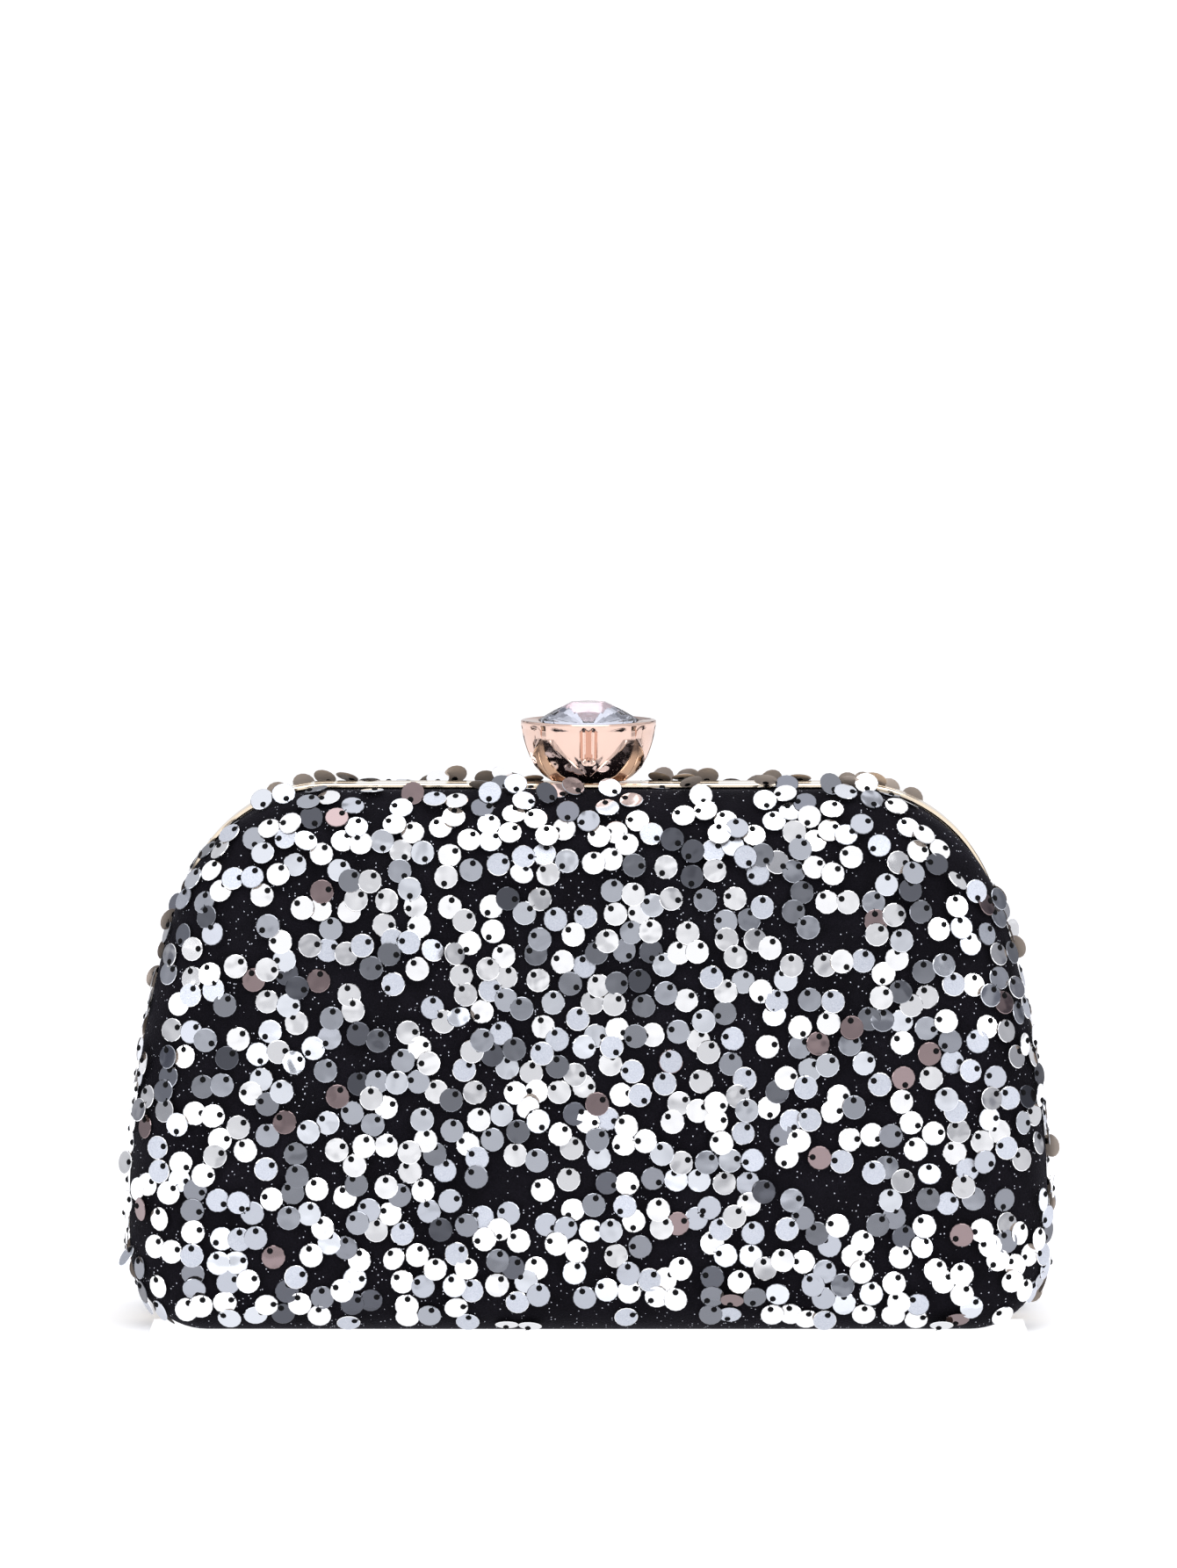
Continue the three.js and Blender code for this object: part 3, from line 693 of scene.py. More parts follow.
def fit_layer(half, layer, made, solid, material, ripple, faces=16):
    """One soft layer of a half, in place of its plain solid."""
    bm = bowl(half, layer, ripple / MM, faces)
    piece = finish_piece(bm, f"{half}_{made}", material, SOFT_CREASE)
    stand_in(piece, f"{half}_half", f"{half}_{solid}")
    return piece


# ------------------------------------------------------------------ operators: the shells

class BAG_OT_velvet_covers(bpy.types.Operator):
    """Makes each half's glitter velvet cover, stretched over its padding"""

    bl_idname = "bag.velvet_covers"
    bl_label = "Velvet covers"

    def execute(self, context):
        settings = context.scene.bag_cover
        material = velvet_finish(settings)
        for half in HALVES:
            piece = fit_layer(
                half, VELVET, "velvet", "velvet_cover", material, settings.ripple, 26)
        return {"FINISHED"}


class BAG_OT_foam_padding(bpy.types.Operator):
    """Makes the foam padding under each cover"""

    bl_idname = "bag.foam_padding"
    bl_label = "Foam padding"

    def execute(self, context):
        settings = context.scene.bag_cover
        material = foam_finish(settings)
        for half in HALVES:
            piece = fit_layer(half, FOAM, "padding", "foam_padding", material, settings.ripple)
        return {"FINISHED"}


class BAG_OT_linings(bpy.types.Operator):
    """Makes each half's satin lining, and gives the hard shells their board finish"""

    bl_idname = "bag.linings"
    bl_label = "Linings and shells"

    def execute(self, context):
        settings = context.scene.bag_cover
        material = satin_finish(settings)
        for half in HALVES:
            piece = fit_layer(
                half, SATIN, "lining", "satin_lining", material, settings.slack, 26)
        give_material(board_finish(settings), "shell_board", "back_hard_shell", "front_hard_shell")
        return {"FINISHED"}


class BAG_OT_frames(bpy.types.Operator):
    """Makes each half's gold frame: rail, web and lock tab, cut for the hinges and the clasp"""

    bl_idname = "bag.frames"
    bl_label = "Frames"

    edge = 0.22  # chamfer on the section's corners, in mm
    tab_round = 2.5  # radius of the lock tab's lower corners
    notch_room = 1.4  # how far a hinge notch reaches past the hinge at each side
    through = (-1, 2)  # y of the ends of the bars that cut right through the web

    def execute(self, context):
        material = metal_finish("pale_gold", context.scene.bag_metal.gold, 0.13)
        thick, edge = RAIL["thick"], self.edge
        deep, shallow = RAIL["depth"], WEB["depth"]
        section = [
            (0, HALF_GAP + edge), (0, deep - edge), (edge, deep), (thick - edge, deep),
            (thick, deep - edge), (thick, shallow + edge), (thick + edge, shallow),
            (WEB["width"] - edge, shallow), (WEB["width"], shallow - edge),
            (WEB["width"], HALF_GAP + edge), (WEB["width"] - edge, HALF_GAP), (edge, HALF_GAP),
        ]
        for half, side in HALVES.items():
            bm = sweep(FRAME, section)
            self.add_tab(bm)
            if side < 0:
                mirror_to_front(bm)
            piece = finish_piece(bm, f"{half}_gold_frame", material, FRAME_CREASE)
            cut_away(piece, self.cutters(half), FRAME_CREASE)
            stand_in(piece, f"{half}_half", f"{half}_frame")
        return {"FINISHED"}

    def add_tab(self, bm):
        """The plate that hangs from the web behind the clasp."""
        half, bottom = LOCK_TAB["half_width"], LOCK_TAB["bottom"]
        into_web = FRAME["top"] - WEB["width"] + 1
        verts = add_box(bm, (-half, half), (HALF_GAP, WEB["depth"]), (bottom, into_web))
        low = [
            edge for edge in edges_along_y(bm)
            if edge.verts[0] in verts and edge.verts[0].co.z < (bottom + 1) * MM]
        bevel(bm, low, self.tab_round, 8)

    def cutters(self, half):
        """What is cut from a frame: hinge notches, rivet holes and the way through for the clasp."""
        bm = bmesh.new()
        reach = HINGE["half"] + self.notch_room
        for x in (-HINGE["x"], HINGE["x"]):
            add_box(bm, (x - reach, x + reach), (-1, HINGE["notch_y"]), (-1, HINGE["notch_z"]))
            for end in (-HINGE["rivet"], HINGE["rivet"]):
                add_bar(bm, x + end, HINGE["rivet_z"], RIVET_HOLE, self.through)
        if half == "back":
            rail = (FRAME["top"] - 2, FRAME["top"] + 1)
            add_box(bm, (BLADE["left"], BLADE["right"]), (BLADE["near"], BLADE["far"]), rail)
            add_bar(bm, 0, STUD["z"], STUD["window"], self.through, 48)
            for x, z in LOCK_RIVETS:
                add_bar(bm, x, z, RIVET_HOLE, self.through)
        else:
            add_bar(bm, 0, STUD["z"], STUD["shank_hole"], self.through, 48)
            mirror_to_front(bm)
        return bm


# ------------------------------------------------------------------ operators: sequins

class BAG_OT_sequins(bpy.types.Operator):
    """Sews loose round sequins on each cover in short wandering rows, and ties each with a thread"""

    bl_idname = "bag.sequins"
    bl_label = "Sequins and threads"

    seam_y = 5.4  # mm from the meeting plane to the nearest sewing hole
    foot_z = 1.2  # mm from the floor to the lowest hole
    shoulder = {"z": 78, "x": 66, "inside": 0.5, "outside": 0.88}  # where, and what share, is left bare
    top = {"y": 13, "z": 110}  # along the top, in mm, sequins stand up more often
    loose = {True: 0.5, False: 0.03}  # share of loose ones, along the top and elsewhere
    frosted = 0.13
    row_lengths = (1, 5)
    row_step = (0.62, 1.12)  # in diameters
    hole_up = {"share": 0.55, "spread": 38}  # rows that hang with their holes up, and their spread in degrees
    wander = {"heading": 0.7, "turn": 0.3, "standing": 0.45}  # spreads in radians
    lift = {"loose": (18, 38), "least": 2.2, "spread": 2.8, "roll": 3.0}  # degrees off the velvet
    apart = {"row": 0.55, "other": 0.7}  # least gap, in diameters, to the last of its row and to others
    most_layers = 4
    lie_height, layer_height = 0.14, 0.32  # mm over the velvet, and more for each sequin underneath
    floor_gap, middle_gap = 0.6, 0.9  # mm kept free under a sequin, and to the meeting plane
    knot_height = 0.00034
    stitch = {"wide": 0.00013, "thick": 0.0001, "over": 0.00012, "past": 0.0002}

    def execute(self, context):
        settings = context.scene.bag_sequins
        film, thread = sequin_finish(), thread_finish()
        disc, knot = self.disc(settings), self.knot(settings)
        for half, side in HALVES.items():
            draws = random.Random(settings.seed + side)
            sewn = self.scatter(half, settings, draws)
            places = [matrix for matrix, _, _ in sewn]
            sequins = self.copies(disc, places, f"{half}_sequins", film)
            self.colour(sequins, disc, sewn)
            threads = self.copies(knot, places, f"{half}_sequin_threads", thread)
            for piece, slot in ((sequins, "steel"), (threads, "black_velvet")):
                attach(piece, f"{half}_half")
        bpy.data.meshes.remove(disc)
        bpy.data.meshes.remove(knot)
        return {"FINISHED"}

    def disc(self, settings):
        """One sequin with its hole at the origin: a flat with a pressed edge, closed underneath."""
        bm = bmesh.new()
        radius, middle = settings.diameter / 2, Vector((-settings.hole_place, 0, 0))
        raised = Vector((0, 0, settings.rise))
        bmesh.ops.create_circle(bm, segments=16, radius=radius, matrix=Matrix.Translation(middle))
        edges = bm.edges[:]
        size, centre = radius, middle
        for next_size, next_centre in (
                (radius - settings.rim, middle + raised), (settings.hole, raised), (radius, middle)):
            made = bmesh.ops.extrude_edge_only(bm, edges=edges)["geom"]
            edges = only(bmesh.types.BMEdge, made)
            shrink = Matrix.Diagonal((next_size / size,) * 3).to_4x4()
            matrix = Matrix.Translation(next_centre) @ shrink @ Matrix.Translation(-centre)
            bmesh.ops.transform(bm, matrix=matrix, verts=only(bmesh.types.BMVert, made))
            size, centre = next_size, next_centre
        bmesh.ops.remove_doubles(bm, verts=bm.verts, dist=WELD)
        bmesh.ops.recalc_face_normals(bm, faces=bm.faces)
        return as_mesh(bm, "sequin")

    def knot(self, settings):
        """One thread: a knot in the hole, in two steps, and a stitch over the near edge."""
        bm = bmesh.new()
        wide, tall = settings.hole * 1.25, self.knot_height
        for low, broad, narrow in ((0, wide, wide * 0.86), (tall * 0.6, wide * 0.86, wide * 0.45)):
            place = Matrix.Translation((0, 0, settings.rise * 0.6 + low + tall * 0.3))
            bmesh.ops.create_cone(
                bm, cap_ends=True, segments=9, radius1=broad, radius2=narrow, depth=tall * 0.6, matrix=place)
        reach = settings.diameter / 2 - settings.hole_place + self.stitch["past"]
        place = Matrix.Translation((reach / 2, 0, settings.rise + self.stitch["over"]))
        size = Matrix.Diagonal((reach, self.stitch["wide"], self.stitch["thick"], 1))
        bmesh.ops.create_cube(bm, size=1, matrix=place @ size)
        return as_mesh(bm, "thread")

    def scatter(self, half, settings, draws):
        """Where each sequin of a half is sewn, with its shade (which picks its white film or its painted
        reflection grey) and whether it is frosted.
        """
        points, triangles = self.surface(half)
        middles, areas = [], []
        for corners in triangles:
            a, b, c = (points[i] for i in corners)
            if abs(a.y + b.y + c.y) / 3 > (self.seam_y + 0.2) * MM:
                middles.append((a + b + c) / 3)
                areas.append(area_tri(a, b, c))
        surface = BVHTree.FromPolygons(points, triangles, all_triangles=True)
        wanted = int(settings.density * sum(areas) / MM ** 2)
        starts = draws.choices(middles, areas, k=wanted * 6)  # far more than the rows that fit
        sewn, taken = [], {}
        for start in starts:
            if len(sewn) >= wanted:
                break
            self.row(surface, start, settings, draws, sewn, taken)
        return sewn

    def surface(self, half):
        """The outside of a cover as points and triangles that face out, in the same order at each run."""
        side = HALVES[half]
        rings = skin_rings(0, half == "back")
        count = len(rings[0])
        points = [Vector((x, side * y, z)) * MM for ring in rings for x, y, z in ring]
        last = len(points) - count
        triangles = []
        for start in range(0, last, count):
            for i in range(count):
                a, b = start + i, start + (i + 1) % count
                triangles += [(a, b, b + count), (a, b + count, a + count)]
        triangles += [(last + i, last + (i + 1) % count, len(points)) for i in range(count)]
        points.append(sum(points[last:], Vector()) / count)
        return points, triangles if side > 0 else [corners[::-1] for corners in triangles]

    def row(self, surface, start, settings, draws, sewn, taken):
        """Sews one wandering row until it runs out, meets another or leaves the cover."""
        diameter = settings.diameter
        heading = draws.uniform(0, 2 * math.pi)
        hangs = draws.random() < self.hole_up["share"]
        toward_hole = (
            math.radians(draws.gauss(90, self.hole_up["spread"])) if hangs else draws.uniform(0, 7))
        point = start
        previous = None
        for _ in range(draws.randint(*self.row_lengths)):
            place, normal, _, _ = surface.find_nearest(point)
            if self.left_bare(place, normal, draws):
                return
            turn = toward_hole + draws.gauss(0, self.wander["turn"])
            placed = self.settle(place, normal, turn, settings, draws, taken, previous)
            if placed is None:
                return
            matrix, middle, layer = placed
            # The second value is the disc's shade: it picks white film or a grey that is a painted
            # reflection.
            sewn.append((matrix, draws.random(), draws.random() < self.frosted))
            taken.setdefault(self.cell(middle, diameter), []).append((middle, layer))
            previous = middle
            across, up = self.tangents(normal)
            heading += draws.gauss(0, self.wander["heading"])
            step = diameter * draws.uniform(*self.row_step)
            point = place + (across * math.cos(heading) + up * math.sin(heading)) * step

    def cell(self, place, diameter):
        """The cell that a place is in, of a grid as wide as a sequin."""
        return tuple(int(math.floor(value / diameter)) for value in place)

    def near(self, place, diameter, taken):
        """The sewn places, and their layers, within a diameter or so."""
        around = itertools.product(*((at - 1, at, at + 1) for at in self.cell(place, diameter)))
        return [found for key in around for found in taken.get(key, ())]

    def left_bare(self, place, normal, draws):
        """Whether the cover is bare here: along the frame, under the foot and often at the shoulders."""
        if abs(place.y) < self.seam_y * MM or place.z < self.foot_z * MM:
            return True
        on_wall = place.z > self.shoulder["z"] * MM and abs(normal.y) < 0.5
        bare = self.shoulder["inside" if abs(place.x) < self.shoulder["x"] * MM else "outside"]
        return on_wall and draws.random() < bare

    def tangents(self, normal):
        """Directions across and up the surface, or back over it where it lies level."""
        away = Vector((0, math.copysign(1, normal.y), 0))
        up = Vector((0, 0, 1)) if abs(normal.z) < 0.8 else -away * math.copysign(1, normal.z)
        across = up.cross(normal).normalized()
        return across, normal.cross(across).normalized()

    def settle(self, place, normal, turn, settings, draws, taken, previous):
        """Lays one sequin on the cover and on those under it, or None where it would foul something."""
        radius = settings.diameter / 2
        high = abs(place.y) < self.top["y"] * MM and place.z > self.top["z"] * MM
        loose = draws.random() < self.loose[high]
        if loose and high:
            turn = draws.gauss(-math.pi / 2, self.wander["standing"])
        across, up = self.tangents(normal)
        hole_way = across * math.cos(turn) + up * math.sin(turn)
        side_way = normal.cross(hole_way)
        rests = place - hole_way * settings.hole_place
        layer = self.layer_at(rests, previous, settings.diameter, taken)
        if layer is None:
            return None
        if loose:
            lift = draws.uniform(*self.lift["loose"])
        else:
            lift = self.lift["least"] + abs(draws.gauss(0, self.lift["spread"]))
        roll = draws.gauss(0, self.lift["roll"])
        lie = Matrix((hole_way, side_way, normal)).transposed().to_4x4()
        lean = Matrix.Rotation(math.radians(lift), 4, "Y") @ Matrix.Rotation(math.radians(roll), 4, "X")
        turned = lie @ lean
        facing = (turned.to_3x3() @ Vector((0, 0, 1))).normalized()

        def half_width(way):
            return radius * math.sqrt(max(0, 1 - facing.dot(way) ** 2))

        middle = turned @ Vector((-settings.hole_place, 0, 0))
        sink = middle.dot(normal) - half_width(normal)
        height = max(0, -sink) + (self.lie_height + self.layer_height * layer) * MM
        matrix = Matrix.Translation(place + normal * height) @ turned
        centre = matrix @ Vector((-settings.hole_place, 0, 0))
        lowest = centre.z - half_width(Vector((0, 0, 1)))
        nearest = abs(centre.y) - half_width(Vector((0, 1, 0)))
        clear = lowest >= self.floor_gap * MM and nearest >= self.middle_gap * MM
        return (matrix, rests, layer) if clear and not self.fouls_cup(centre, radius) else None

    def layer_at(self, rests, previous, diameter, taken):
        """How many sequins deep one lies here, or None where it would hide another or the pile is full."""
        layer = 0
        for other, below in self.near(rests, diameter, taken):
            gap = (other - rests).length / diameter
            if gap < self.apart["row" if other is previous else "other"]:
                return None
            if gap < 1:
                layer = max(layer, below + 1)
        return layer if layer < self.most_layers else None

    def fouls_cup(self, centre, radius):
        """Whether a sequin would touch the cup on its way along the rail."""
        slide = min(CLASP_TRAVEL * MM, max(0, centre.x))
        away = Vector((centre.x - slide, centre.y - CUP["y"] * MM)).length
        above = centre.z > (CUP["base"] - 2.2) * MM
        return above and away < cup_radius(centre.z / MM + 1) * MM + radius * 0.75

    def copies(self, proto, places, name, material):
        """One mesh of a small shape repeated at each place."""
        bm = bmesh.new()
        for matrix in places:
            one = proto.copy()
            one.transform(matrix)
            bm.from_mesh(one)
            bpy.data.meshes.remove(one)
        return as_piece(bm, name, material)

    def colour(self, piece, disc, sewn):
        """Gives each disc's faces its shade (its white film or its painted reflection grey), and marks the
        frosted ones and every underside.
        """
        low = min(vert.co.z for vert in disc.vertices)
        inside = [
            face.normal.z < 0 or sum(disc.vertices[v].co.z < low + WELD for v in face.vertices) != 2
            for face in disc.polygons]
        below = [float(face.normal.z < 0) for face in disc.polygons]
        values = {
            "shade": [shade for _, shade, _ in sewn for _ in inside],
            "frost": [float(frosted and within) for _, _, frosted in sewn for within in inside],
            "under": below * len(sewn),
        }
        for name, shares in values.items():
            piece.data.attributes.new(name, "FLOAT", "FACE").data.foreach_set("value", shares)


# ------------------------------------------------------------------ operators: clasp, lock and hinges

def between(value, start, end):
    """How far a value has come from start to end, from 0 to 1."""
    return min(1, max(0, (value - start) / (end - start)))


def cup_radius(z):
    """The cup's radius at a height, in mm: straight under the rim, then rounding in to its foot."""
    drop = max(0, CUP["rim"] - z - CUP["straight"]) / CUP["fall"]
    return CUP["radius"] * math.sqrt(max(0.05, 1 - drop ** 2))


class BAG_OT_clasp_cup(bpy.types.Operator):
    """Turns the rose-gold cup, and presses its four fluted panels and the petals between them"""

    bl_idname = "bag.clasp_cup"
    bl_label = "Clasp cup"

    lip = 0.6  # how far below the rim the pressed shape starts, in mm
    panel_top = 3.4  # how far below it the panels are widest
    panel_tip = 11.8  # and where they end in a point
    panel_wide = math.radians(41.5)
    columns = 26  # faces in an eighth of the way round
    panel_columns = 16  # those of them in half a panel
    channel_columns = 6  # and those in the channel beside a panel's ridge
    channel_step = 0.34  # their width, in mm
    channel_end = 7.4  # how far below the rim the channels start to run out
    squareness = 0.05  # how far the panels' sides are drawn in towards a square
    hollow = 0.45  # how far a panel is hollowed from its top to its tip, as a share of the flute
    rows = 64  # faces from the foot to the rim
    wall = 0.9
    crease = math.radians(28)

    def execute(self, context):
        settings = context.scene.bag_metal
        bm = bmesh.new()
        profile = self.profile()
        verts = [bm.verts.new((radius * MM, 0, z * MM)) for radius, z in profile]
        edges = [bm.edges.new((verts[i - 1], verts[i])) for i in range(len(verts))]
        bmesh.ops.spin(
            bm, geom=verts + edges, cent=(0, 0, 0), axis=(0, 0, 1), angle=2 * math.pi, steps=8 * self.columns,
            use_merge=True, use_normal_flip=False)
        bmesh.ops.remove_doubles(bm, verts=bm.verts, dist=1e-7)
        for vert in bm.verts:
            self.press(vert, settings.facet_depth / MM)
        bmesh.ops.translate(bm, vec=(0, CUP["y"] * MM, 0), verts=bm.verts)
        material = metal_finish("rose_gold", settings.rose, 0.09)
        piece = finish_piece(bm, "jewelled_cup", material, self.crease)
        stand_in(piece, "clasp", "clasp_cup")
        return {"FINISHED"}

    def profile(self):
        """Half the cup's section, closed: outside from foot to rim, then the seat and the bore."""
        rise = CUP["rim"] - 0.25 - CUP["base"]
        heights = [CUP["base"] + rise * i / self.rows for i in range(self.rows + 1)]
        outside = [(cup_radius(z), z) for z in heights]
        slope = (CUP_SEAT["girdle_z"] - CUP_SEAT["culet"]) / CUP_SEAT["girdle"]
        seat_z = CUP_SEAT["girdle_z"] - CUP_SEAT["gap"] - (CUP_SEAT["girdle"] - CUP_BORE["wide"]) * slope
        floor = CUP["base"] + CUP_BORE["floor"]
        inner = CUP["radius"] - self.wall
        return [
            (CUP_BORE["shank"], CUP["base"]), *outside,
            (CUP["radius"] - 0.18, CUP["rim"] - 0.05), (CUP["radius"] - 0.36, CUP["rim"]),
            (inner + 0.2, CUP["rim"]), (inner, CUP["rim"] - 0.1),
            ((inner + CUP_SEAT["radius"]) / 2, CUP["rim"] - CUP_SEAT["drop"] * 0.7),
            (CUP_SEAT["radius"], CUP["rim"] - CUP_SEAT["drop"]),
            (CUP_BORE["wide"], seat_z), (CUP_BORE["wide"], floor), (CUP_BORE["shank"], floor),
        ]

    def press(self, vert, flute):
        """Moves one vertex of the turned cup to where the fluted panels and petals put it."""
        x, y, z = vert.co / MM
        radius = math.hypot(x, y)
        depth = CUP["rim"] - z
        in_bore = radius < CUP_SEAT["radius"] - 4
        in_seat = depth < 4 and radius < CUP["radius"] - self.wall - 0.05
        if in_bore or in_seat:
            return
        angle = math.atan2(y, x)
        quarter = round(angle / (math.pi / 2)) * math.pi / 2
        column = abs(angle - quarter) / (math.pi / 4) * self.columns
        fade = between(depth, self.panel_tip, self.panel_tip + 1.3)
        fall = (self.panel_tip - max(depth, self.panel_top)) / (self.panel_tip - self.panel_top)
        half_panel = max(math.radians(1.2), self.panel_wide * max(0, fall) ** 0.93)
        half_panel += (self.panel_columns / self.columns * math.pi / 4 - half_panel) * fade
        share = self.channel_columns / self.panel_columns
        channel = min(self.channel_columns * self.channel_step / radius, share * half_panel)
        runs = min(1, half_panel / self.panel_wide * 1.3)
        if column <= self.channel_columns:
            off = column / self.channel_columns * channel
            runs = 1 - between(depth, self.channel_end, self.channel_end + 1.4)
        elif column <= self.panel_columns:
            beyond = between(column, self.channel_columns, self.panel_columns)
            off = channel + beyond * (half_panel - channel)
        else:
            beyond = between(column, self.panel_columns, self.columns)
            off = half_panel + beyond * (math.pi / 4 - half_panel)
        down = between(depth, self.lip, self.panel_tip)
        on_panel = between(self.panel_columns + 1 - column, 0, 3)
        groove = self.flute_shape(column) * runs + self.hollow * math.sin(math.pi * down) * on_panel
        radius *= 1 - self.squareness * math.sin(2 * off) ** 2
        radius -= flute * groove * between(depth, self.lip, self.lip + 1.1) * (1 - fade)
        turn = quarter + math.copysign(off, angle - quarter)
        vert.co = Vector((radius * math.cos(turn), radius * math.sin(turn), z)) * MM

    def flute_shape(self, column):
        """How deep the cup is pressed at a column, from a panel's middle ridge to a petal's middle."""
        channel = ((0, 0), (1, 0.3), (2, 0.62), (3, 0.72), (4, 0.62), (5, 0.3), (6, 0.04))
        shape = (*channel, (10, 0.2), (14, 0.16), (15, 0), (16, 0), (17, 0.24))
        for (low, start), (high, end) in zip(shape, shape[1:]):
            if column <= high:
                return start + (end - start) * (column - low) / (high - low)
        return shape[-1][1]


class BAG_OT_clasp_stone(bpy.types.Operator):
    """Gives the faceted crystal its clear finish"""

    bl_idname = "bag.clasp_stone"
    bl_label = "Clasp stone"

    def execute(self, context):
        give_material(crystal_finish(context.scene.bag_metal), "crystal", "clasp_crystal")
        return {"FINISHED"}


class BAG_OT_latch_spring(bpy.types.Operator):
    """Makes the lock's spring leaf, between its rivet and the clasp's foot"""

    bl_idname = "bag.latch_spring"
    bl_label = "Latch spring"

    def execute(self, context):
        material = metal_finish("spring_steel", context.scene.bag_metal.steel, 0.3)
        piece = finish_piece(self.plate(), "latch_leaf", material)
        combine(piece, self.blade(), "UNION")
        hole = bmesh.new()
        add_bar(hole, *LOCK_RIVETS[2], RIVET_HOLE, (0, 5))
        cut_away(piece, hole)
        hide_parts("latch_spring")
        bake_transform(piece)
        return {"FINISHED"}

    def plate(self):
        """The riveted end, with its far corners rounded."""
        bm = bmesh.new()
        wide = (LATCH["x"] + LATCH["thick"] / 2, LATCH["right"])
        add_box(bm, wide, (LATCH["near"], LATCH["plate_far"]), (LATCH_Z["low"], LATCH_Z["plate"]))
        far = [edge for edge in edges_along_y(bm) if edge.verts[0].co.x > (LATCH["right"] - 1) * MM]
        bevel(bm, far, 0.6, 5)
        return bm

    def blade(self):
        """The upright part, cut into short lengths."""
        bm = bmesh.new()
        wide = (LATCH["x"], LATCH["x"] + LATCH["thick"])
        add_box(bm, wide, (LATCH["near"], LATCH["far"]), (LATCH_Z["low"], LATCH_Z["high"]))
        upright = [edge for edge in bm.edges if abs(edge.verts[0].co.z - edge.verts[1].co.z) > MM]
        bmesh.ops.subdivide_edges(bm, edges=upright, cuts=20, use_grid_fill=True)
        return bm


class BAG_OT_hinges_and_lock(bpy.types.Operator):
    """Gives the hinges, rivets, lock cover, post, nut and stud their metals"""

    bl_idname = "bag.hinges_and_lock"
    bl_label = "Hinges and lock"

    def execute(self, context):
        settings = context.scene.bag_metal
        gold = metal_finish("brushed_gold", settings.gold, 0.24)
        steel = metal_finish("turned_steel", settings.steel, 0.22)
        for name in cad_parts:
            if "pin" in name or name in ("clasp_post", "clasp_nut", "latch_spring_rivet", "catch_stud"):
                give_material(steel, "steel", name)
            elif "leaf" in name or "rivet" in name or name == "lock_cover":
                give_material(gold, "pale_gold", name)
        return {"FINISHED"}


# ------------------------------------------------------------------ operator: the stage

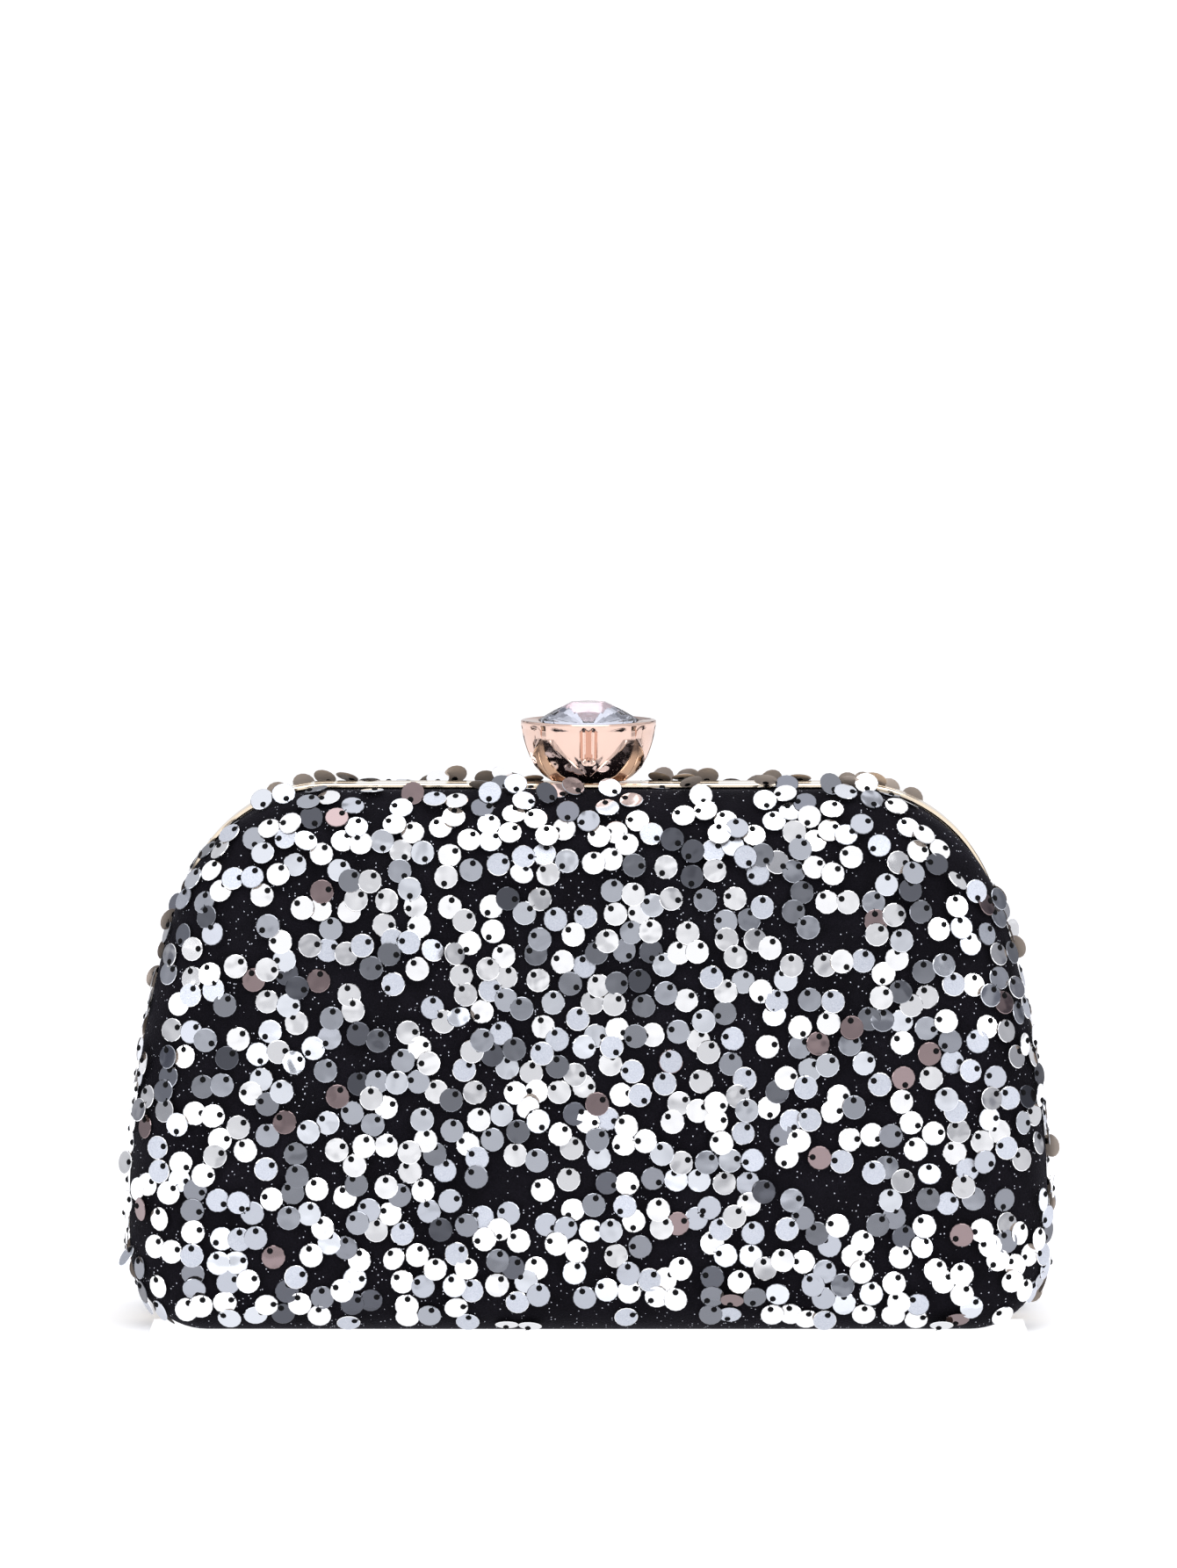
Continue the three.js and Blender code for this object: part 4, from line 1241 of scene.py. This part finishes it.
class BAG_OT_stage(bpy.types.Operator):
    """Sets up the camera, a plain white floor, soft lights and the studio around them"""

    bl_idname = "bag.stage"
    bl_label = "Stage"

    floor_radius = 1.15
    lamps = {  # each lamp's width and place, in metres, and the setting that gives its power
        "overhead": (0.9, (0.1, -0.25, 1.1), "key"),
        "left": (0.5, (-0.9, -0.7, 0.55), "side"),
        "right": (0.5, (0.9, -0.8, 0.6), "side"),
    }
    lamp_aim = (0, 0, 0.06)

    def execute(self, context):
        settings = context.scene.bag_stage
        context.scene.view_settings.view_transform = "Standard"
        self.camera(context, settings)
        self.floor()
        self.studio(context, settings)
        for name, (size, place, power) in self.lamps.items():
            self.light(context, name, getattr(settings, power), size, place)
        return {"FINISHED"}

    def camera(self, context, settings):
        """The camera, in front of the bag and a little above it."""
        camera = bpy.data.objects.new("camera", bpy.data.cameras.new("camera"))
        camera.data.lens = settings.focal
        camera.data.sensor_width = 36
        camera.data.clip_start = 0.01
        back, rise = math.cos(settings.pitch), math.sin(settings.pitch)
        camera.location = (0, -settings.distance * back, settings.aim + settings.distance * rise)
        camera.rotation_euler = (math.pi / 2 - settings.pitch, 0, 0)
        context.scene.collection.objects.link(camera)
        context.scene.camera = camera

    def floor(self):
        """A round floor with a well in it, where the open front half hangs lower than the bag stands."""
        bm = bmesh.new()
        bmesh.ops.create_circle(bm, cap_ends=True, segments=96, radius=self.floor_radius)
        for axis, edges in ((Vector((1, 0, 0)), WELL["x"]), (Vector((0, 1, 0)), WELL["y"])):
            for edge in edges:
                everything = bm.verts[:] + bm.edges[:] + bm.faces[:]
                bmesh.ops.bisect_plane(bm, geom=everything, plane_co=axis * edge * MM, plane_no=axis)
        inside = [face for face in bm.faces if self.over_well(face.calc_center_median() / MM)]
        bmesh.ops.delete(bm, geom=inside, context="FACES")
        finish = new_finish("studio_floor")
        cloud = finish.noise(finish.coordinates(), 3)
        finish.shade(
            Base_Color=finish.mix(cloud, (0.86, 0.86, 0.88), (0.90, 0.90, 0.91)), Roughness=0.6,
            Specular_IOR_Level=0.1, Emission_Color=(1, 1, 1), Emission_Strength=0.25)
        finish_piece(bm, "floor", finish.owner)

    def over_well(self, point):
        """Whether a point, in mm, is over the well."""
        return WELL["x"][0] < point.x < WELL["x"][1] and WELL["y"][0] < point.y < WELL["y"][1]

    def studio(self, context, settings):
        """White walls with soft grey panels round the horizon, which the camera doesn't see."""
        world = bpy.data.worlds.new("studio")
        context.scene.world = world
        studio = Finish(world, "Background")
        direction = studio.node("ShaderNodeTexCoord", output="Generated")
        across, away, height = (
            studio.node("ShaderNodeSeparateXYZ", None, [direction], output=axis) for axis in "XYZ")
        sides = self.ramp(studio, across * across, 0.45, 0.8)
        band = self.ramp(studio, height, -0.06, 0.10) * (1 - self.ramp(studio, height, 0.40, 0.62))
        wide = self.ramp(studio, studio.noise(direction, 2.1, 1), 0.42, 0.60)
        fine = self.ramp(studio, studio.noise(direction, 7.5, 1), 0.52, 0.60)
        behind = self.ramp(studio, away, 0.1, 0.7)
        low = 1 - self.ramp(studio, height, 0.30, 0.60)
        grey = band * (wide * 0.34 + fine * 0.4 + 0.06) + sides * low * 0.42 + behind * 0.24
        seen = studio.node("ShaderNodeLightPath", output="Is Camera Ray")
        colour = studio.mix(grey * (1 - seen), (1.06, 1.06, 1.08), (0.15, 0.155, 0.185))
        studio.shade(Color=colour, Strength=settings.sky)

    def ramp(self, studio, value, start, end):
        """A smooth step from 0 at start to 1 at end."""
        return studio.node(
            "ShaderNodeMapRange", {"interpolation_type": "SMOOTHSTEP"},
            {"Value": value, "From Min": start, "From Max": end})

    def light(self, context, name, power, size, place):
        """One square soft light, turned to the bag."""
        lamp = bpy.data.lights.new(name, "AREA")
        lamp.energy = power
        lamp.shape = "SQUARE"
        lamp.size = size
        rig = bpy.data.objects.new(name, lamp)
        rig.location = place
        aim = Vector(self.lamp_aim) - Vector(place)
        rig.rotation_euler = aim.to_track_quat("-Z", "Y").to_euler()
        context.scene.collection.objects.link(rig)


# ------------------------------------------------------------------ the sidebar and the run

OPERATORS = (
    BAG_OT_stage, BAG_OT_velvet_covers, BAG_OT_foam_padding, BAG_OT_linings, BAG_OT_frames,
    BAG_OT_sequins, BAG_OT_clasp_cup, BAG_OT_clasp_stone, BAG_OT_latch_spring, BAG_OT_hinges_and_lock,
)
GROUPS = {
    "bag_cover": BagCoverSettings,
    "bag_sequins": BagSequinSettings,
    "bag_metal": BagMetalSettings,
    "bag_stage": BagStageSettings,
}


class BAG_PT_sidebar(bpy.types.Panel):
    """Lists the bag's settings and the steps that build it"""

    bl_idname = "BAG_PT_sidebar"
    bl_label = "Evening bag"
    bl_space_type = "VIEW_3D"
    bl_region_type = "UI"
    bl_category = "Bag"

    def draw(self, context):
        for name, group in GROUPS.items():
            box = self.layout.box()
            for setting in group.__annotations__:
                box.prop(getattr(context.scene, name), setting)
        for operator in OPERATORS:
            self.layout.operator(operator.bl_idname)


def register():
    for cls in (*GROUPS.values(), *OPERATORS, BAG_PT_sidebar):
        bpy.utils.register_class(cls)
    for name, group in GROUPS.items():
        setattr(bpy.types.Scene, name, PointerProperty(type=group))


def unregister():
    for name in GROUPS:
        delattr(bpy.types.Scene, name)
    for cls in reversed((*GROUPS.values(), *OPERATORS, BAG_PT_sidebar)):
        bpy.utils.unregister_class(cls)


def main():
    register()
    for operator in OPERATORS:
        group, name = operator.bl_idname.split(".")
        getattr(getattr(bpy.ops, group), name)()


if __name__ == "__main__":
    main()
